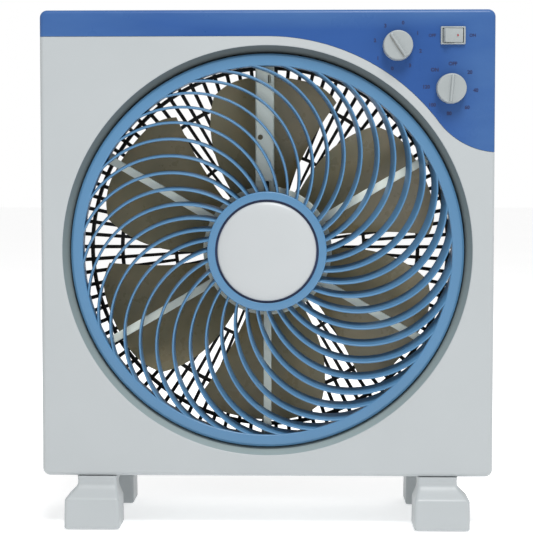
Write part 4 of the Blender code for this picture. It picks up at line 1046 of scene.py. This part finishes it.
def rib(angle, r0, r1):
    """A radial rib of the rear grille with rounded edges, a little wider towards the rim."""
    ux, uz = polar(1, angle)
    loops = []
    for r in (r0, r1):
        share = (r - GRILLE_HUB) / (GRILLE_RIM - GRILLE_HUB)
        half = (RIB_WIDTHS[0] + (RIB_WIDTHS[1] - RIB_WIDTHS[0]) * share) / 2
        section = rectangle((-half, half), GRILLE_SPAN, RIB_BEVEL, 1)
        loops.append([(ux * r - uz * side, y, FAN_Z + uz * r + ux * side) for side, y in section])
    return loft(loops)


def rear_grille():
    """Ribs, bands and hub plate."""
    shapes = [rib(360 / RIBS * index, RIB_STARTS[index % 2], RIB_END) for index in range(RIBS)]
    near, far = (y / MM for y in GRILLE_SPAN)
    for inner, outer in GRILLE_BANDS:
        band = [(inner, near - 0.1, 0.5), (outer, near - 0.1, 0.5), (outer, far, 0.5), (inner, far, 0.5)]
        shapes.append(lathe(band, ROUND, FAN, 3))
    piece("grille", merged(shapes), BLACK, "case", ["rear_grille"], 40)
    edge = GRILLE_HUB / MM
    plate = [(0, near, 0), (edge, near, 0.5), (edge, far, 0.8), (0, far, 0)]
    hub = piece("grille_hub", lathe(plate, 96, FAN), BLACK, "case", ())
    cut(hub, *small_rods(MOTOR_BOLT_HOLE, 50 * MM, 70 * MM, MOTOR_BOLTS))
    dress(hub)


def motor():
    front = [(5, -8, 0), (38, -8, 1.5), (42, -4, 1.5), (42, 14, 0.3), (40, 14, 0.3), (40, -3.2, 1)]
    front += [(37.2, -6, 1), (12, -6, 0.3), (12, 3, 0.3), (9.3, 3, 0.2), (9.3, -6, 0), (5, -6, 0)]
    rear = [(0, 57.2, 0), (38, 57.2, 1.5), (42, 53, 1.5), (42, 36.6, 0.3), (40, 36.6, 0.3)]
    rear += [(40, 52.4, 1), (37.2, 55.2, 1), (12, 55.2, 0.3), (12, 46, 0.3), (9.3, 46, 0.2)]
    rear += [(9.3, 55.2, 0), (0, 55.2, 0)]
    for end, profile, slots in (("front", front, (-4 * MM, 10 * MM)), ("rear", rear, (41 * MM, 51 * MM))):
        shape = lathe(profile, 96, FAN)
        made = piece(f"bell_{end}", shape, METAL, "case", [f"motor_{end}_bell"])
        windows = [spoke(angle, 7 * MM, 39 * MM, 44 * MM, *slots, 0.8 * MM) for angle in range(18, 378, 36)]
        cut(made, *windows, *small_rods(MOTOR_BOLT_HOLE, -20 * MM, 75 * MM, MOTOR_BOLTS))
        dress(made)


# ---- screws and small parts


def screw(head, shank):
    """A cross-head screw along +Y, its origin under the head. head and shank are (radius, length) in mm."""
    radius, height = head
    dome = [(0, -height), (0.35 * radius, -0.97 * height), (0.65 * radius, -0.84 * height)]
    dome += [(0.88 * radius, -0.55 * height), (radius, -0.2 * height), (0.97 * radius, 0)]
    radius, length = shank
    tip, pitch = 1.5, 1.1
    body = [(radius, 0)]
    turns = min(int((length - tip) / pitch), 12)
    for index in range(turns):
        y = length - tip - pitch * (turns - index)
        body += [(radius, y), (radius * 0.84, y + pitch / 2)]
    body += [(radius, length - 1.2), (radius * 0.4, length), (0, length)]
    return turned([(r * MM, y * MM) for r, y in dome + body], 28)


def cross(radius, height):
    """The two cutters for a cross recess."""
    arm = (-radius * 0.62 * MM, radius * 0.62 * MM)
    slot = (-radius * 0.13 * MM, radius * 0.13 * MM)
    depth = (-height * MM - 1 * MM, -height * 0.35 * MM)
    return block(arm, depth, slot), block(slot, depth, arm)


def screws():
    forward = Matrix.Identity(4)
    backward = Matrix.Rotation(pi, 4, "Z")
    upward = Matrix.Rotation(pi / 2, 4, "X")
    ring = round_fan(GRILLE_SCREW_RADIUS, GRILLE_SCREW_ANGLES)
    lugs = round_fan(LUG_RADIUS, LUG_ANGLES)
    groups = (  # node name, head, shank, direction and places
        ("case_screw", (3.8, 2.2), (1.8, 38), backward, [(x, 46.3 * MM, z) for x, z in BOSSES]),
        ("grille_screw", (3, 2), (1.6, 5.8), forward, [(x, 57.2 * MM, z) for x, z in ring]),
        ("bracket_screw", (3, 1.8), (1.6, 10), forward, [(x, -39.3 * MM, z) for x, z in lugs]),
        ("motor_bolt", (3.6, 2.4), (1.7, 69), backward, [(x, 61.5 * MM, z) for x, z in MOTOR_BOLTS]),
        ("foot_screw", (4, 2.6), (1.9, 15), upward, [(x, y, 39.7 * MM) for x, y in foot_screw_places()]),
    )
    for name, head, shank, turn, places in groups:
        pattern = piece(f"{name}_pattern", screw(head, shank), STEEL, "case")
        for cutter in cross(*head):
            cut(pattern, cutter)
        dress(pattern, 0.0, 36)
        for number, at in enumerate(places, 1):
            mesh = pattern.data.copy()
            own_turn = Matrix.Rotation(radians(31 * number - 14), 4, "Y")
            mesh.transform(Matrix.Translation(at) @ turn @ own_turn)
            mesh.name = f"{name}_{number}_fine"
            made = new_object(mesh.name, mesh)
            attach(made, "case")
            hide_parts(f"{name}_{number}")
        bpy.data.objects.remove(pattern)


def cord_gland():
    """Ribbed bush where the supply lead would pass through the rear shell."""
    profile = [(3.6, 58, 0), (6.4, 58, 0.3), (6.4, 64.3, 0), (9.5, 64.3, 0.3), (9.3, 66.2, 0.6)]
    for step in range(3):
        radius = 8.1 - 0.9 * step
        y = 66.6 + 2.1 * step
        profile += [(radius - 0.9, y, 0.2), (radius, y + 0.7, 0.3), (radius - 0.2, y + 1.6, 0.3)]
    profile += [(5.2, 73, 0.4), (3.6, 73, 0.3)]
    piece("gland", lathe(profile, 48, GLAND_AT, 3), BLACK, "case", ["cord_gland"])


def rating_plate():
    outline = rectangle((-24 * MM, 24 * MM), (FAN_Z - 32 * MM, FAN_Z - 8 * MM), 2 * MM)
    shape = prism(outline, 61.5 * MM, 62.1 * MM)
    dress(piece("blank_plate", shape, PLATE, "case", ["rating_plate"]), 0.12 * MM)


# ---- stage


def stage():
    floor = bpy.data.materials.new("floor")
    floor.use_nodes = True
    tree = floor.node_tree
    shader = tree.nodes["Principled BSDF"]
    shader.inputs["Roughness"].default_value = 0.9
    shader.inputs["Specular IOR Level"].default_value = 0.1
    shader.inputs["Emission Color"].default_value = (1, 1, 1, 1)
    shader.inputs["Emission Strength"].default_value = 0.5
    place = node(tree, "ShaderNodeTexCoord").outputs["Object"]
    share = spread(tree, clouds(tree, place, 1.5), 0, 1)
    tone = blended(tree, share, (0.9, 0.9, 0.9, 1), (0.93, 0.93, 0.93, 1))
    tree.links.new(tone, shader.inputs["Base Color"])
    mesh = bpy.data.meshes.new("floor")
    half = 30
    corners = [(-half, -half, 0), (half, -half, 0), (half, half, 0), (-half, half, 0)]
    mesh.from_pydata(corners, [], [(0, 1, 2, 3)])
    mesh.materials.append(floor)
    made = new_object("floor", mesh)


def aimed(made, at, target):
    """Stands a lamp or the camera at one place and turns it towards another."""
    made.location = at
    made.rotation_mode = "QUATERNION"
    made.rotation_quaternion = (Vector(target) - made.location).to_track_quat("-Z", "Y")
    return made


def area_light(name, at, target, size, power):
    lamp = bpy.data.lights.new(name, "AREA")
    lamp.shape = "DISK"
    lamp.size = size
    lamp.energy = power
    aimed(new_object(name, lamp), at, target)


def lights():
    area_light("key", (0.35, -1.25, 2.4), (0, 0, FAN_Z), 1.1, 58)
    area_light("rim", (0.9, 1.6, 1.9), (0, 0, FAN_Z), 1.5, 7)
    world = bpy.data.worlds.new("studio")
    bpy.context.scene.world = world
    world.use_nodes = True
    tree = world.node_tree
    ground = tree.nodes["Background"]
    ground.inputs["Color"].default_value = (1, 1, 1, 1)
    ground.inputs["Strength"].default_value = 0.5
    white = node(tree, "ShaderNodeBackground", {"Color": (1, 1, 1, 1), "Strength": 1.0})
    switch = node(tree, "ShaderNodeMixShader")
    tree.links.new(node(tree, "ShaderNodeLightPath").outputs["Is Camera Ray"], switch.inputs["Fac"])
    tree.links.new(ground.outputs["Background"], switch.inputs[1])
    tree.links.new(white.outputs["Background"], switch.inputs[2])
    tree.links.new(switch.outputs["Shader"], tree.nodes["World Output"].inputs["Surface"])
    bpy.context.scene.view_settings.view_transform = "Standard"


def camera():
    data = bpy.data.cameras.new("camera")
    data.sensor_width = 36
    data.lens = data.sensor_width * (CAMERA_DISTANCE + CASE_FRONT) / VIEW_HEIGHT
    data.clip_start, data.clip_end = 0.05, 200
    azimuth, elevation = radians(CAMERA_AZIMUTH), radians(CAMERA_ELEVATION)
    back = Vector((sin(azimuth) * cos(elevation), -cos(azimuth) * cos(elevation), sin(elevation)))
    at = Vector((0, 0, FAN_Z)) + back * CAMERA_DISTANCE
    bpy.context.scene.camera = aimed(new_object("camera", data), at, CAMERA_TARGET)


# ---- everything

front_case()
control_panel()
rear_case()
feet()
dial("timer", TIMER_AT, TIMER_POINTER, "timer_dial")
dial("speed", SPEED_AT, SPEED_POINTER, "speed_dial")
# Painted shadow beside the speed knob's fin.
painted_fin_shadow("speed", SPEED_AT, SPEED_POINTER, "speed_dial")
rocker()
panel_print()
louver()
bracket()
impeller()
rear_grille()
motor()
screws()
cord_gland()
rating_plate()

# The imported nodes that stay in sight, each with its finish
KEPT = (
    (METAL, "louver_motor_case"),
    (LAMINATED, "stator_core", "motor_rotor"),
    (COPPER, "stator_winding"),
    (BRONZE, "front_bearing", "rear_bearing"),
    (BLACK, "motor_capacitor", "timer_body", "speed_body", "louver_motor_lead", "main_motor_lead"),
    (IVORY, "terminal_block"),
    (STEEL, "motor_shaft", "drive_pin", "louver_nut", "louver_motor_shaft", "timer_shaft", "speed_shaft"),
)
for material, *names in KEPT:
    for name in names:
        for slot in frame["nodes"][name].material_slots:
            slot.material = material

stage()
lights()
camera()
